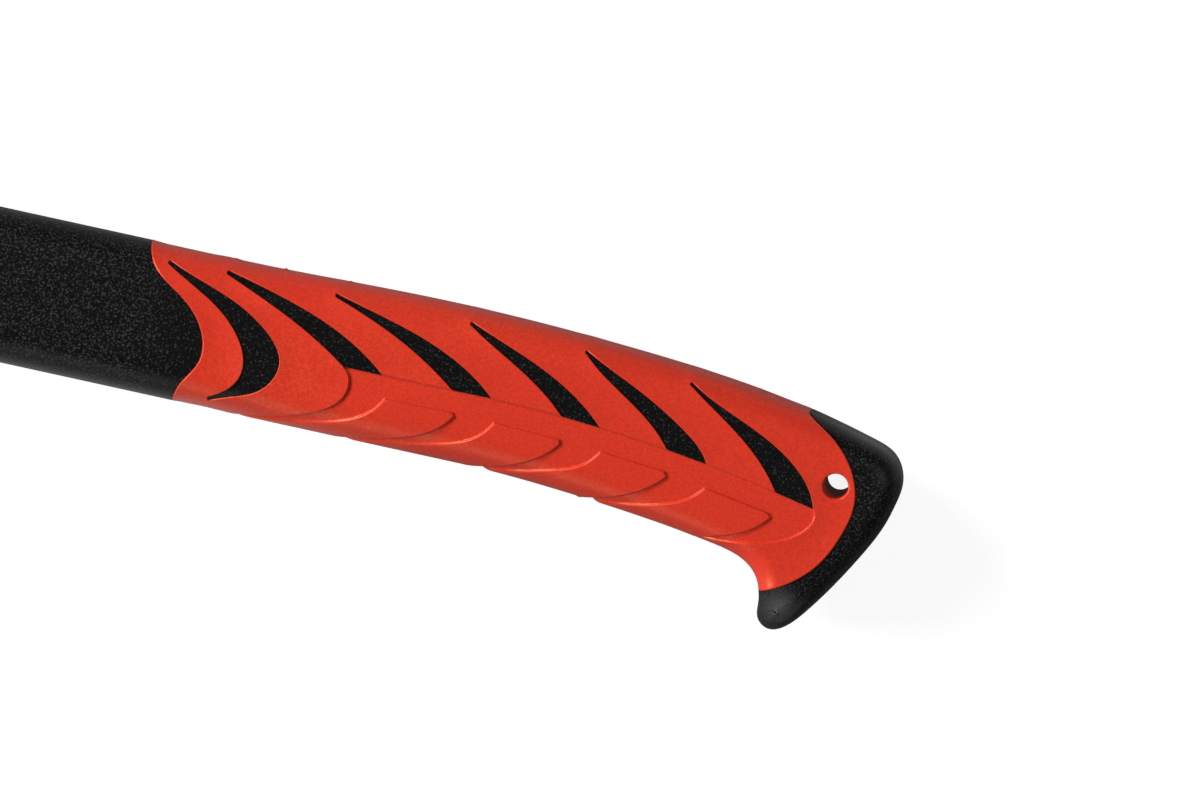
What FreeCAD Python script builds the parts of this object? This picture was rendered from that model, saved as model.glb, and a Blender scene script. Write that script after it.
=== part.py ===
"""Pick-head fire axe with a moulded handle and a two-colour grip, as a parametric document.

Frame: the origin is the centre of the hanging hole, midway through the handle. +X runs down the
handle to the pommel, +Y is the pick (back) side, -Y the blade (front) side, Z the thickness.
All sizes are millimetres and live in the Sizes sheet.
"""
import FreeCAD, Part
import math
import os

import Sketcher

V = FreeCAD.Vector

SIZES = (
    # handle outline, measured from the hanging hole
    ("overall_length", 815.0, "bit toe to pommel heel"),
    ("shaft_depth", 42.5, "front edge to back edge of the shaft"),
    ("shaft_back", 25.0, "hole axis to the back edge"),
    ("shaft_thickness", 27.0, "black shaft, face to face"),
    ("shaft_rounding", 11.5, "edge radius along the shaft and grip"),
    ("pommel_rounding", 7.5, "edge radius round the pommel"),
    ("toe_rounding", 6.0, "edge radius at the hooked toe"),
    ("heel_reach", 17.7, "hole axis to the end of the heel"),
    ("toe_drop", 43.8, "hole axis to the tip of the toe"),
    ("neck_depth", 54.0, "handle where it seats under the head"),
    ("neck_length", 90.0, "stretch over which the shaft swells to the neck"),
    # overmoulded grip
    ("grip_length", 202.0, "hole axis to the front tip of the grip"),
    ("grip_proud", 0.45, "grip face above the black face"),
    ("grip_skin", 2.3, "depth of the overmould"),
    ("seat_squareness", 2.0, "how much squarer the seat under the grip is rounded"),
    ("panel_recess", 0.5, "finger panel below the grip face"),
    ("panel_inset", 0.3, "finger panel inside the front edge"),
    ("hole_bore", 7.0, "hanging hole"),
    ("lining_wall", 1.7, "orange lining of the hanging hole"),
    # stiffening core
    ("core_depth", 32.0, "fibreglass bar, front to back"),
    ("core_thickness", 15.0, "fibreglass bar, face to face"),
    ("core_tail_gap", 48.0, "hole axis to the end of the bar"),
    # forged head
    ("cheek_thickness", 40.0, "head across the eye"),
    ("cheek_length", 66.0, "flat cheek, front to back"),
    ("eye_height", 56.0, "head along the handle at the eye"),
    ("eye_length", 50.0, "eye opening, front to back"),
    ("eye_width", 23.0, "eye opening across"),
    ("eye_flare", 1.2, "extra at each side at the top of the eye"),
    ("resin_sink", 1.5, "resin and core below the top of the head"),
    ("bit_reach", 150.0, "eye centre to the cutting edge"),
    ("bit_width", 114.0, "length of the cutting edge, toe to heel"),
    ("bit_toe_rise", 50.16, "eye centre up to the toe of the cutting edge"),
    ("edge_radius", 118.0, "curve of the cutting edge"),
    ("bit_thickness", 11.0, "blade where the bevel starts"),
    ("bevel_length", 21.0, "ground bevel behind the edge"),
    ("edge_land", 0.6, "width of the cutting edge"),
    ("pick_reach", 165.0, "eye centre to the pick tip"),
    ("pick_drop", 10.0, "pick tip below the eye centre"),
    ("pick_tip", 5.0, "blunt square end of the pick"),
    ("forging_rounding", 2.5, "rounded corners of the forging"),
    # overstrike collar
    ("collar_length", 58.0, "rubber collar along the neck"),
    ("collar_wall", 2.6, "rubber over the handle"),
)

doc = FreeCAD.newDocument("FireAxe")
sheet = doc.addObject("Spreadsheet::Sheet", "Sizes")
for row, (alias, number, note) in enumerate(SIZES, start=1):
    sheet.set("A%d" % row, alias)
    sheet.set("B%d" % row, str(number))
    sheet.setAlias("B%d" % row, alias)
    sheet.set("C%d" % row, note)
doc.recompute()


def size(alias):
    """Return one size from the sheet in millimetres."""
    return float(getattr(sheet, alias))


def evaluate(expression):
    """Return what an expression of the sheet's sizes comes to."""
    return float(sheet.evalExpression(expression.replace("Sizes.", "")))


# ---------------------------------------------------------------- sketches and forms

def point(place):
    return V(place[0], place[1], 0)


def smooth(places, start=None, end=None):
    """A curve through a few places, with end directions where they matter."""
    curve = Part.BSplineCurve()
    through = [point(place) for place in places]
    if start and end:
        curve.interpolate(Points=through, InitialTangent=point(start), FinalTangent=point(end))
    else:
        curve.interpolate(Points=through)
    return curve


def straight(first, last):
    return Part.LineSegment(point(first), point(last))


def bend(first, middle, last):
    return Part.Arc(point(first), point(middle), point(last))


def draw(sketch, runs):
    """Put a closed chain of runs in a sketch and join them where their ends meet.

    A sketch keeps every arc turning the same way, so which end meets which is looked up.
    """
    for run in runs:
        sketch.addGeometry(run, False)
    count = len(runs)
    for index in range(count):
        after = (index + 1) % count
        meeting = [((sketch.getPoint(index, end) - sketch.getPoint(after, start)).Length, end, start)
                   for end in (1, 2) for start in (1, 2)]
        _, end, start = min(meeting)
        sketch.addConstraint(Sketcher.Constraint("Coincident", index, end, after, start))
    return sketch


def pin(sketch, run, end, across, up):
    """Bind one end of a run to expressions for its two coordinates."""
    place = sketch.getPoint(run, end)
    for kind, now, expression in (("DistanceX", place.x, across), ("DistanceY", place.y, up)):
        which = sketch.addConstraint(Sketcher.Constraint(kind, -1, 1, run, end, now))
        sketch.setExpression("Constraints[%d]" % which, expression)


def outline(name, runs):
    return draw(doc.addObject("Sketcher::SketchObject", name), runs)


def slab(name, profile, length):
    """Extrude a profile evenly about the middle plane of the handle."""
    form = doc.addObject("Part::Extrusion", name)
    form.Base = profile
    form.DirMode = "Normal"
    form.Solid = True
    form.Symmetric = True
    form.setExpression("LengthFwd", length)
    return form


def boolean(kind, name, base, tool):
    form = doc.addObject("Part::" + kind, name)
    form.Base = base
    form.Tool = tool
    return form


def fuse(name, pieces):
    form = doc.addObject("Part::MultiFuse", name)
    form.Shapes = pieces
    return form


def name_part(form, label):
    form.Label = label
    return form


# ---------------------------------------------------------------- handle outline

back = size("shaft_back")
front = back - size("shaft_depth")
heel = size("heel_reach")
toe = -size("toe_drop")
shaft_mid = (back + front) / 2
head_top = size("overall_length") - heel
bit_toe_rise = size("bit_toe_rise")
eye_x = -(head_top - bit_toe_rise)
neck_x = eye_x + size("eye_height") / 2
neck_half = size("neck_depth") / 2
swell_x = neck_x + size("neck_length")

# The pommel and the grip are drawn at these sizes, and follow when the real sizes change.
DRAWN_LENGTH = 202.0
DRAWN_DEPTH = 42.5
stretch = size("grip_length") / DRAWN_LENGTH
deepen = size("shaft_depth") / DRAWN_DEPTH
belly_start = -180.0 * stretch
belly_end = -105.0 * stretch

ALONG = (1, 0)
UP_HANDLE = (-1, 0)
HEEL_DOWN = (0.965, -0.27)
HEEL_BACK = (-0.25, -1)
TOE_DOWN = (-0.6, -0.8)
TOE_UP = (-0.05, 1)
THROAT_OUT = (-0.98, 0.18)


def offset(place, across, up):
    """A place at drawn distances from another."""
    return (place[0] + across * deepen, place[1] + up * deepen)


HEEL = (heel, back)
TOE = (0.0, toe)
heel_top = offset(HEEL, -9.2, -11.9)
heel_low = offset(HEEL, -1.1, -30.0)
toe_back = offset(TOE, -1.0, 6.8)
toe_front = offset(TOE, -14.5, 6.3)
throat_end = offset((0.0, front), -34.0, -5.9)


def along_back(across, up):
    return (across * stretch, back + up * deepen)


def along_front(across, up):
    return (across * stretch, front + up * deepen)


def moved_out(place, direction, grow):
    """A place on the outline moved out square to the outline's direction there."""
    length = math.hypot(*direction)
    return (place[0] - direction[1] / length * grow, place[1] + direction[0] / length * grow)


def edge_curve(places, start, end, grow):
    """One smooth stretch of the outline, grown outwards (or shrunk) all along."""
    drawn = smooth(places, start, end)
    directions = [drawn.tangent(drawn.parameter(point(place)))[0] for place in places]
    grown = [moved_out(place, (way.x, way.y), grow) for place, way in zip(places, directions)]
    return smooth(grown, start, end)


def handle_runs(grow):
    """The handle's outline, clockwise from the back of the shaft, moved outwards by grow."""
    high, low = back + grow, front - grow
    neck_high, neck_low = shaft_mid + neck_half + grow, shaft_mid - neck_half - grow
    return [
        straight((swell_x, high), (belly_start, high)),
        edge_curve([(belly_start, back), along_back(-120, 1.15), along_back(-60, -1.0),
                    along_back(-20, -5.4), heel_top], ALONG, HEEL_DOWN, grow),
        edge_curve([heel_top, offset(HEEL, -3.1, -15.0), offset(HEEL, 0.0, -21.4), heel_low],
                   HEEL_DOWN, HEEL_BACK, grow),
        edge_curve([heel_low, offset(HEEL, -7.2, -44.0), toe_back], HEEL_BACK, TOE_DOWN, grow),
        edge_curve([toe_back, offset(TOE, -6.3, 1.2), offset(TOE, -10.5, 0.0), offset(TOE, -13.9, 2.5),
                    toe_front], TOE_DOWN, TOE_UP, grow),
        edge_curve([toe_front, offset(TOE, -15.6, 11.0), offset(TOE, -19.0, 15.6),
                    offset((0.0, front), -24.5, -7.9), throat_end], TOE_UP, THROAT_OUT, grow),
        edge_curve([throat_end, along_front(-50, -3.65), along_front(-75, -1.3), (belly_end, front)],
                   THROAT_OUT, UP_HANDLE, grow),
        straight((belly_end, low), (swell_x, low)),
        straight((swell_x, low), (neck_x, neck_low)),
        straight((neck_x, neck_low), (neck_x, neck_high)),
        straight((neck_x, neck_high), (swell_x, high)),
    ]


# edge rounding at each joint of the outline, from the belly round the pommel to the neck
shaft_round = size("shaft_rounding")
pommel_round = size("pommel_rounding")
toe_round = size("toe_rounding")
ROUNDING = (
    ((belly_start, back), shaft_round),
    (heel_top, pommel_round + 0.5),
    (heel_low, pommel_round),
    (toe_back, toe_round),
    (toe_front, toe_round),
    (throat_end, (shaft_round + toe_round) / 2),
    ((belly_end, front), shaft_round),
    ((swell_x, front), shaft_round),
    ((neck_x, shaft_mid - neck_half), shaft_round),
    ((neck_x, shaft_mid + neck_half), shaft_round),
    ((swell_x, back), shaft_round),
)


def rounding_at(place):
    """Edge radius at the joint of the outline nearest to a place."""
    return min(ROUNDING, key=lambda joint: (place - point(joint[0]).add(V(0, 0, place.z))).Length)[1]


def handle_form(name, grow_expression, thickness_expression, rounding_change):
    """A rounded handle: the outline moved outwards by grow, extruded, with its edges rounded."""
    profile = outline(name + "_outline", handle_runs(evaluate(grow_expression)))
    pin(profile, 0, 2, "%g" % belly_start, "Sizes.shaft_back + (%s)" % grow_expression)
    pin(profile, 7, 1, "%g" % belly_end, "Sizes.shaft_back - Sizes.shaft_depth - (%s)" % grow_expression)
    blank = slab(name + "_blank", profile, thickness_expression)
    doc.recompute()
    rounded = doc.addObject("Part::Fillet", name)
    rounded.Base = blank
    edges = []
    for index, edge in enumerate(blank.Shape.Edges, start=1):
        start = edge.valueAt(edge.FirstParameter)
        end = edge.valueAt(edge.LastParameter)
        flat = abs(start.z - end.z) < 0.01
        at_neck = abs(start.x - end.x) < 0.01 and edge.Length > size("shaft_depth")
        if flat and not at_neck:
            edges.append((index, rounding_at(start) + rounding_change, rounding_at(end) + rounding_change))
    rounded.Edges = edges
    return rounded


black_form = handle_form("black_form", "0", "Sizes.shaft_thickness", 0.0)
grip_form = handle_form("grip_form", "0", "Sizes.shaft_thickness + 2 * Sizes.grip_proud", 0.0)
floor_form = handle_form("floor_form", "-Sizes.panel_inset",
                         "Sizes.shaft_thickness + 2 * (Sizes.grip_proud - Sizes.panel_recess)", 0.0)
seat_rounding_change = -size("grip_skin") - size("seat_squareness")
skin_form = handle_form("skin_form", "-Sizes.grip_skin", "Sizes.shaft_thickness - 2 * Sizes.grip_skin",
                        seat_rounding_change)

# ---------------------------------------------------------------- grip regions


def on_grip(places):
    """Places of the grip pattern, drawn from the hole axis, at the grip's real size."""
    return [(x * stretch, y * deepen) for x, y in places]


through = "2 * Sizes.shaft_thickness"

front_border = on_grip([(-204, 29), (-201.6, 24), (-199.8, 20.5), (-190, 12.7), (-182, 3),
                        (-181.3, -3.3), (-185.5, -11.7), (-187.2, -17.5), (-187.6, -24)])
rear_border = on_grip([(-15.3, 40), (-15.3, 22), (-12.6, 18.9), (-4.2, 13.5), (4.2, 3.9), (6.3, -4),
                       (4.7, -12.6), (-0.5, -23.2), (-8.4, -30.4), (-15.3, -33.9), (-24, -36.2)])
grip_region_outline = outline("grip_region_outline", [
    smooth(front_border),
    straight(front_border[-1], (front_border[-1][0], toe)),
    straight((front_border[-1][0], toe), (rear_border[-1][0], toe)),
    straight((rear_border[-1][0], toe), rear_border[-1]),
    smooth(rear_border[:0:-1]),
    straight(rear_border[1], rear_border[0]),
    straight(rear_border[0], (front_border[0][0], rear_border[0][1])),
    straight((front_border[0][0], rear_border[0][1]), front_border[0]),
])
grip_region = slab("grip_region", grip_region_outline, through)

# Each window: upper edge from tip to crease, then lower edge from crease back to the tip.
WINDOWS = (
    ([(-195.0, 21.8), (-180, 16.5), (-166.7, 9.8), (-159.2, -0.3), (-163, -8.3), (-170, -11.9),
      (-176.4, -14.5)],
     [(-176.9, -13.4), (-169.2, -1.3), (-175, 8.3), (-184, 14.8), (-195.2, 20.7)]),
    ([(-178.4, 22.5), (-155, 16.5), (-136, 7.5), (-130.3, 3.2)],
     [(-141.3, 3.2), (-150, 8.7), (-165, 16.1), (-178.6, 21.4)]),
    ([(-147.5, 22.7), (-125, 17.0), (-105, 8.0), (-99.1, 3.4)],
     [(-110.3, 3.3), (-120, 9.9), (-135, 17.3), (-147.5, 21.7)]),
    ([(-108.9, 23.1), (-90, 15.9), (-72.5, 6.1), (-67.8, 1.9)],
     [(-78.9, 2.7), (-90, 11.3), (-100, 17.0), (-108.9, 22.1)]),
    ([(-75.8, 22.2), (-60, 14.8), (-43.5, 5.4), (-38.1, 0.7), (-36.6, -1.7)],
     [(-48.1, -0.1), (-55, 6.7), (-65, 13.4), (-75.7, 21.2)]),
    ([(-45.1, 19.8), (-25, 10.4), (-12.6, 3.2), (-7.1, -2.6), (-4.8, -7.6)],
     [(-16.0, -5.3), (-22.6, 2.6), (-35, 12.1), (-45.2, 18.8)]),
)
TIP = 0.5
ON_CREASE = 4.0


def tip_bend(low, high):
    """Round a window's tip from its lower edge over to its upper edge."""
    middle = ((low[0] + high[0]) / 2, (low[1] + high[1]) / 2)
    width = math.hypot(high[0] - low[0], high[1] - low[1])
    out = ((low[1] - high[1]) / width, (high[0] - low[0]) / width)
    return bend(low, (middle[0] + out[0] * width * TIP, middle[1] + out[1] * width * TIP), high)


def window_runs(upper, lower):
    upper, lower = on_grip(upper), on_grip(lower)
    along_crease = upper[-1][0] > lower[0][0] + ON_CREASE
    end = straight if along_crease else tip_bend
    return [smooth(upper), end(upper[-1], lower[0]), smooth(lower), tip_bend(lower[-1], upper[0])]


windows = [slab("window_%d" % number, outline("window_outline_%d" % number, window_runs(*edges)), through)
           for number, edges in enumerate(WINDOWS, start=1)]

crease = on_grip([(-141.3, 3.2), (-110, 3.4), (-85, 3.0), (-60, 1.25), (-36.6, -1.7), (-4.8, -7.6)])
panel_rear = on_grip([(-4.8, -7.6), (-4.1, -9.6), (-8, -15.8), (-16, -19.7), (-28.7, -22.0), (-44, -24.6)])
panel_front = on_grip([(-176, -19.5), (-160, -15.7), (-146.7, -11.2), (-139.5, -4.7), (-139.2, 0.4),
                       (-141.3, 3.2)])
panel_outline = outline("panel_outline", [
    smooth(crease),
    smooth(panel_rear),
    straight(panel_rear[-1], (panel_rear[-1][0], toe)),
    straight((panel_rear[-1][0], toe), (panel_front[0][0], toe)),
    straight((panel_front[0][0], toe), panel_front[0]),
    smooth(panel_front),
])
panel = slab("panel", panel_outline, through)

# Each scale: hollow front edge up from the front of the grip, top, and full rear edge down again.
SCALES = (
    ([(-176, -18.6), (-160, -16.2), (-145, -13.6), (-135, -9.9), (-128.5, -2.9)],
     [(-109, -2.7), (-108.1, -3.7), (-112.7, -8.8), (-123.3, -13.9), (-133, -16.4), (-145, -19)]),
    ([(-142, -18.4), (-128, -15.7), (-115, -13.3), (-102.5, -8.9), (-97.2, -2.9)],
     [(-78.1, -3.6), (-77.5, -4.9), (-82.5, -10.0), (-92.5, -15.2), (-101, -17.6), (-112, -20)]),
    ([(-108, -19.4), (-93, -16.5), (-80, -13.1), (-70.5, -9.1), (-66.4, -4.4)],
     [(-47.5, -6.1), (-46.5, -7.6), (-51.9, -12.4), (-62.5, -17.6), (-70, -19.8), (-78, -22)]),
    ([(-75, -21.4), (-60, -18.5), (-48, -15.8), (-39.7, -12.1), (-35.75, -8.1)],
     [(-16.8, -11.3), (-15.7, -12.5), (-20.5, -17.1), (-31.0, -21.8), (-38, -24.2), (-46, -26.5)]),
)


def scale_runs(hollow, full):
    hollow, full = on_grip(hollow), on_grip(full)
    low = min(hollow[0][1], full[-1][1]) - 6
    return [
        smooth(hollow),
        straight(hollow[-1], full[0]),
        smooth(full),
        straight(full[-1], (full[-1][0], low)),
        straight((full[-1][0], low), (hollow[0][0], low)),
        straight((hollow[0][0], low), hollow[0]),
    ]


scales = [slab("scale_%d" % number, outline("scale_outline_%d" % number, scale_runs(*edges)), through)
          for number, edges in enumerate(SCALES, start=1)]

# ---------------------------------------------------------------- hole, core and grip parts


def hole(name, diameter):
    """A cylinder on the hole axis, through the whole handle."""
    form = doc.addObject("Part::Cylinder", name)
    form.setExpression("Radius", "(%s) / 2" % diameter)
    form.setExpression("Height", through)
    form.setExpression("Placement.Base.z", "-Sizes.shaft_thickness")
    return form


bore = hole("bore", "Sizes.hole_bore")
lining_seat = hole("lining_seat", "Sizes.hole_bore + 2 * Sizes.lining_wall")


def rounded_bar(name, length, depth, thickness):
    """A straight bar along X with fully rounded narrow sides."""
    bar = doc.addObject("Part::Box", name + "_bar")
    bar.setExpression("Length", length)
    bar.setExpression("Width", depth)
    bar.setExpression("Height", thickness)
    doc.recompute()
    rounded = doc.addObject("Part::Fillet", name)
    rounded.Base = bar
    radius = 0.46 * bar.Height.Value
    rounded.Edges = [(index, radius, radius) for index, edge in enumerate(bar.Shape.Edges, start=1)
                     if abs(edge.Vertexes[0].X - edge.Vertexes[-1].X) > 1]
    return rounded


eye_top = eye_x - size("eye_height") / 2
core = rounded_bar("core", "%g - Sizes.resin_sink - Sizes.core_tail_gap" % -eye_top,
                   "Sizes.core_depth", "Sizes.core_thickness")
core.setExpression("Placement.Base.x", "%g + Sizes.resin_sink" % eye_top)
core.setExpression("Placement.Base.y", "Sizes.shaft_back - Sizes.shaft_depth / 2 - Sizes.core_depth / 2")
core.setExpression("Placement.Base.z", "-Sizes.core_thickness / 2")
name_part(core, "glass_core")

# orange overmould: raised field, sunk finger panel with its scales, hollow inside, lined hole
scale_set = fuse("scale_set", scales)
sunk = boolean("Cut", "sunk", panel, scale_set)
raised_field = boolean("Cut", "raised_field", grip_region, fuse("cut_outs", windows + [sunk]))
raised_skin = boolean("Common", "raised_skin", grip_form, raised_field)
sunk_skin = boolean("Common", "sunk_skin", floor_form, sunk)
skin = boolean("Cut", "skin", fuse("skin_blank", [raised_skin, sunk_skin]), skin_form)
lining = boolean("Common", "lining", grip_form, lining_seat)
grip = boolean("Cut", "grip", fuse("grip_blank", [skin, lining]), bore)
name_part(grip, "grip_overmould")

# black jacket: shaft and pommel, the seat under the overmould, and the lands in the windows
bare_form = boolean("Cut", "bare_form", black_form, grip_region)
seat = boolean("Common", "seat", skin_form, grip_region)
lands = boolean("Common", "lands", black_form, fuse("window_set", windows))
jacket_blank = fuse("jacket_blank", [bare_form, seat, lands])
jacket = boolean("Cut", "jacket", jacket_blank, fuse("jacket_voids", [core, lining_seat]))
name_part(jacket, "handle_jacket")

# ---------------------------------------------------------------- forged head

head = doc.addObject("PartDesign::Body", "head_forging")
head.setExpression("Placement.Base.y", "Sizes.shaft_back - Sizes.shaft_depth / 2")
head.Placement.Base.x = eye_x
origin_planes = {feature.Role: feature for feature in head.Origin.OriginFeatures}


def head_sketch(name, plane, runs):
    sketch = head.newObject("Sketcher::SketchObject", name)
    sketch.AttachmentSupport = [(origin_planes[plane], "")]
    sketch.MapMode = "FlatFace"
    doc.recompute()
    return draw(sketch, runs)


half_eye = size("eye_height") / 2
half_cheek = size("cheek_length") / 2
bit_reach = size("bit_reach")
pick_reach = size("pick_reach")
pick_drop = size("pick_drop")
DRAWN_CHEEK = 66.0
forge = size("cheek_length") / DRAWN_CHEEK
toe_x = -bit_toe_rise
heel_x = toe_x + size("bit_width")
edge_centre_x = (toe_x + heel_x) / 2
edge_radius = size("edge_radius")
edge_centre_y = edge_radius - bit_reach


def on_edge(x):
    """Place on the curved cutting edge at a height along the handle."""
    return (x, edge_centre_y - math.sqrt(edge_radius ** 2 - (x - edge_centre_x) ** 2))


bit_toe = on_edge(toe_x)
bit_heel = on_edge(heel_x)
bit_crown = on_edge(edge_centre_x)
pick_half = size("pick_tip") / 2
tip_top = (pick_drop - pick_half, pick_reach)
tip_low = (pick_drop + pick_half, pick_reach)
pick_root = half_cheek - 6 * forge

head_plan = head_sketch("head_plan", "XY_Plane", [
    bend(bit_toe, bit_crown, bit_heel),
    smooth([bit_heel, (half_eye + 13 * forge, -0.62 * bit_reach),
            (half_eye + 1.5 * forge, -half_cheek - 8 * forge), (half_eye, -half_cheek)],
           (-0.75, 0.66), (0, 1)),
    straight((half_eye, -half_cheek), (half_eye, pick_root)),
    smooth([(half_eye, pick_root), (half_eye - 7 * forge, half_cheek + 17 * forge),
            (pick_drop + 9.5 * forge, 0.62 * pick_reach), tip_low], (0, 1), (-0.05, 1)),
    straight(tip_low, tip_top),
    smooth([tip_top, (pick_drop - 11 * forge, 0.62 * pick_reach),
            (-half_eye + 6 * forge, half_cheek + 12 * forge), (-half_eye, pick_root)],
           (-0.16, -1), (-0.1, -1)),
    straight((-half_eye, pick_root), (-half_eye, -half_cheek)),
    smooth([(-half_eye, -half_cheek), (-half_eye - forge, -half_cheek - 8 * forge),
            (-half_eye - 7 * forge, -0.62 * bit_reach), bit_toe], (0, -1), (-0.5, -0.87)),
])
blank = head.newObject("PartDesign::Pad", "head_blank")
blank.Profile = head_plan
blank.Midplane = True
blank.setExpression("Length", "Sizes.cheek_thickness")
doc.recompute()

cheek_half = size("cheek_thickness") / 2
bit_half = size("bit_thickness") / 2
bevel_start = -bit_reach + size("bevel_length")
clear = 10.0


def side_profile(sign):
    """What the hammers take off one cheek: blade side, then pick side."""
    def at(y, z):
        return (y, sign * z)
    blade = [
        smooth([at(-half_cheek, cheek_half), at(-half_cheek - 14 * forge, cheek_half - 6.5 * forge),
                at(-0.55 * bit_reach, bit_half + 3.2 * forge), at(bevel_start, bit_half)],
               (-1, 0), (-1, -0.06 * sign)),
        straight(at(bevel_start, bit_half), at(-bit_reach - clear, bit_half - 1.5)),
        straight(at(-bit_reach - clear, bit_half - 1.5), at(-bit_reach - clear, cheek_half + clear)),
        straight(at(-bit_reach - clear, cheek_half + clear), at(-half_cheek, cheek_half + clear)),
        straight(at(-half_cheek, cheek_half + clear), at(-half_cheek, cheek_half)),
    ]
    pick = [
        smooth([at(half_cheek, cheek_half), at(half_cheek + 13 * forge, cheek_half - 6.5 * forge),
                at(0.5 * pick_reach, cheek_half / 2.2), at(pick_reach, pick_half)],
               (1, 0), (1, -0.1 * sign)),
        straight(at(pick_reach, pick_half), at(pick_reach + clear, pick_half - 0.5)),
        straight(at(pick_reach + clear, pick_half - 0.5), at(pick_reach + clear, cheek_half + clear)),
        straight(at(pick_reach + clear, cheek_half + clear), at(half_cheek, cheek_half + clear)),
        straight(at(half_cheek, cheek_half + clear), at(half_cheek, cheek_half)),
    ]
    return blade, pick


for side, sign in (("upper", 1), ("lower", -1)):
    for end, runs in zip(("blade", "pick"), side_profile(sign)):
        taper = head.newObject("PartDesign::Pocket", "%s_%s_taper" % (side, end))
        taper.Profile = head_sketch("%s_%s_profile" % (side, end), "YZ_Plane", runs)
        taper.Type = "Length"
        taper.Midplane = True
        taper.setExpression("Length", "3 * Sizes.bit_width")
doc.recompute()
tapered_volume = head.Shape.Volume


def is_forged_edge(edge):
    """True for the long corners of the forging, but not for the cutting edge or the pick tip."""
    limits = (edge.FirstParameter, edge.LastParameter)
    ends = [edge.valueAt(where) - head.Placement.Base for where in limits]
    middle = edge.valueAt(sum(limits) / 2) - head.Placement.Base
    on_edge_arc = abs(math.hypot(middle.x - edge_centre_x, middle.y - edge_centre_y) - edge_radius) < 0.5
    along_handle = abs(ends[0].y - ends[1].y) < 0.01
    upright = abs(middle.z) < 1.0
    at_tip = middle.y > pick_reach - 1
    return not (upright or along_handle or at_tip or (on_edge_arc and middle.y < 0))


forged = head.newObject("PartDesign::Fillet", "forged_corners")
tapered = head.getObject("lower_pick_taper")
forged.Base = (tapered, ["Edge%d" % index for index, edge in enumerate(tapered.Shape.Edges, start=1)
                         if is_forged_edge(edge)])
forged.setExpression("Radius", "Sizes.forging_rounding")

# The edge is ground by turning it past a wheel, so both bevels are cones about the edge's centre.
land = size("edge_land") / 2
bevel_root = edge_radius - size("bevel_length")


def bevel_runs(sign):
    corners = [(bevel_root - 6, bit_half + 3.0), (bevel_root, bit_half),
               (edge_radius, land), (edge_radius + clear, land),
               (edge_radius + clear, cheek_half), (bevel_root - 6, cheek_half)]
    places = [(edge_centre_y - reach, sign * height) for reach, height in corners]
    return [straight(first, last) for first, last in zip(places, places[1:] + places[:1])]


for side, sign in (("upper", 1), ("lower", -1)):
    profile = head_sketch("%s_bevel_profile" % side, "YZ_Plane", bevel_runs(sign))
    profile.AttachmentOffset.Base = V(0, 0, edge_centre_x)
    axis = profile.addGeometry(straight((edge_centre_y, 0), (edge_centre_y, 1)), True)
    bevel = head.newObject("PartDesign::Groove", "%s_bevel" % side)
    bevel.Profile = profile
    bevel.ReferenceAxis = (profile, ["Axis0"])
    bevel.Midplane = True
    bevel.Angle = 100
doc.recompute()
if not head.Shape.Volume < forged.Shape.Volume < tapered_volume:
    raise RuntimeError("the bevels or the forged corners cut nothing")

# The eye is wider at the top, so that the filled head can't pull off.


def eye_section(name, along, grow):
    """A rounded slot across the handle axis, at a height along the head."""
    depth = size("eye_length") / 2 + grow
    width = size("eye_width") / 2 + grow
    flat = depth - width
    section = outline(name, [
        straight((-flat, width), (flat, width)),
        bend((flat, width), (depth, 0), (flat, -width)),
        straight((flat, -width), (-flat, -width)),
        bend((-flat, -width), (-depth, 0), (-flat, width)),
    ])
    turn = FreeCAD.Rotation(V(0, 1, 0), V(0, 0, 1), V(1, 0, 0), "ZXY")
    section.Placement = FreeCAD.Placement(V(eye_x + along, shaft_mid, 0), turn)
    return section


def eye_loft(name, top, bottom):
    """The eye's own shape between two heights, following its flare."""
    def grow(along):
        return size("eye_flare") * (half_eye - along) / size("eye_height")
    loft = doc.addObject("Part::Loft", name)
    loft.Sections = [eye_section("%s_%s" % (name, end), along, grow(along))
                     for end, along in (("top", top), ("bottom", bottom))]
    loft.Solid = True
    loft.Ruled = True
    return loft


axe_head = boolean("Cut", "head", head, eye_loft("eye", -half_eye - 5, half_eye + 5))
name_part(axe_head, "axe_head")
resin = boolean("Cut", "resin", eye_loft("eye_fill", size("resin_sink") - half_eye, half_eye), core)
name_part(resin, "eye_resin")

# ---------------------------------------------------------------- overstrike collar

collar_form = handle_form("collar_form", "Sizes.collar_wall",
                          "Sizes.shaft_thickness + 2 * Sizes.collar_wall", size("collar_wall"))
reach = doc.addObject("Part::Box", "collar_reach")
reach.setExpression("Length", "Sizes.collar_length")
reach.setExpression("Width", "3 * Sizes.neck_depth")
reach.setExpression("Height", through)
reach.Placement.Base.x = neck_x
reach.setExpression("Placement.Base.y", "-Sizes.neck_depth")
reach.setExpression("Placement.Base.z", "-Sizes.shaft_thickness")
collar = boolean("Cut", "collar", boolean("Common", "collar_blank", collar_form, reach), black_form)
name_part(collar, "overstrike_collar")

# ---------------------------------------------------------------- write the parts

PARTS = (axe_head, resin, core, jacket, grip, collar)
doc.recompute()
for item in doc.Objects:
    if "Invalid" in item.State or "Error" in item.State:
        raise RuntimeError("%s failed: %s" % (item.Name, item.State))
os.makedirs("parts", exist_ok=True)
for item in PARTS:
    if item.Shape.isNull() or not item.Shape.isValid():
        raise RuntimeError("%s has no valid shape" % item.Label)
    item.Shape.exportStep("parts/%s.step" % item.Label)
    print("%-18s %2d solid(s) %9.0f mm3" % (item.Label, len(item.Shape.Solids), item.Shape.Volume))
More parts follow.
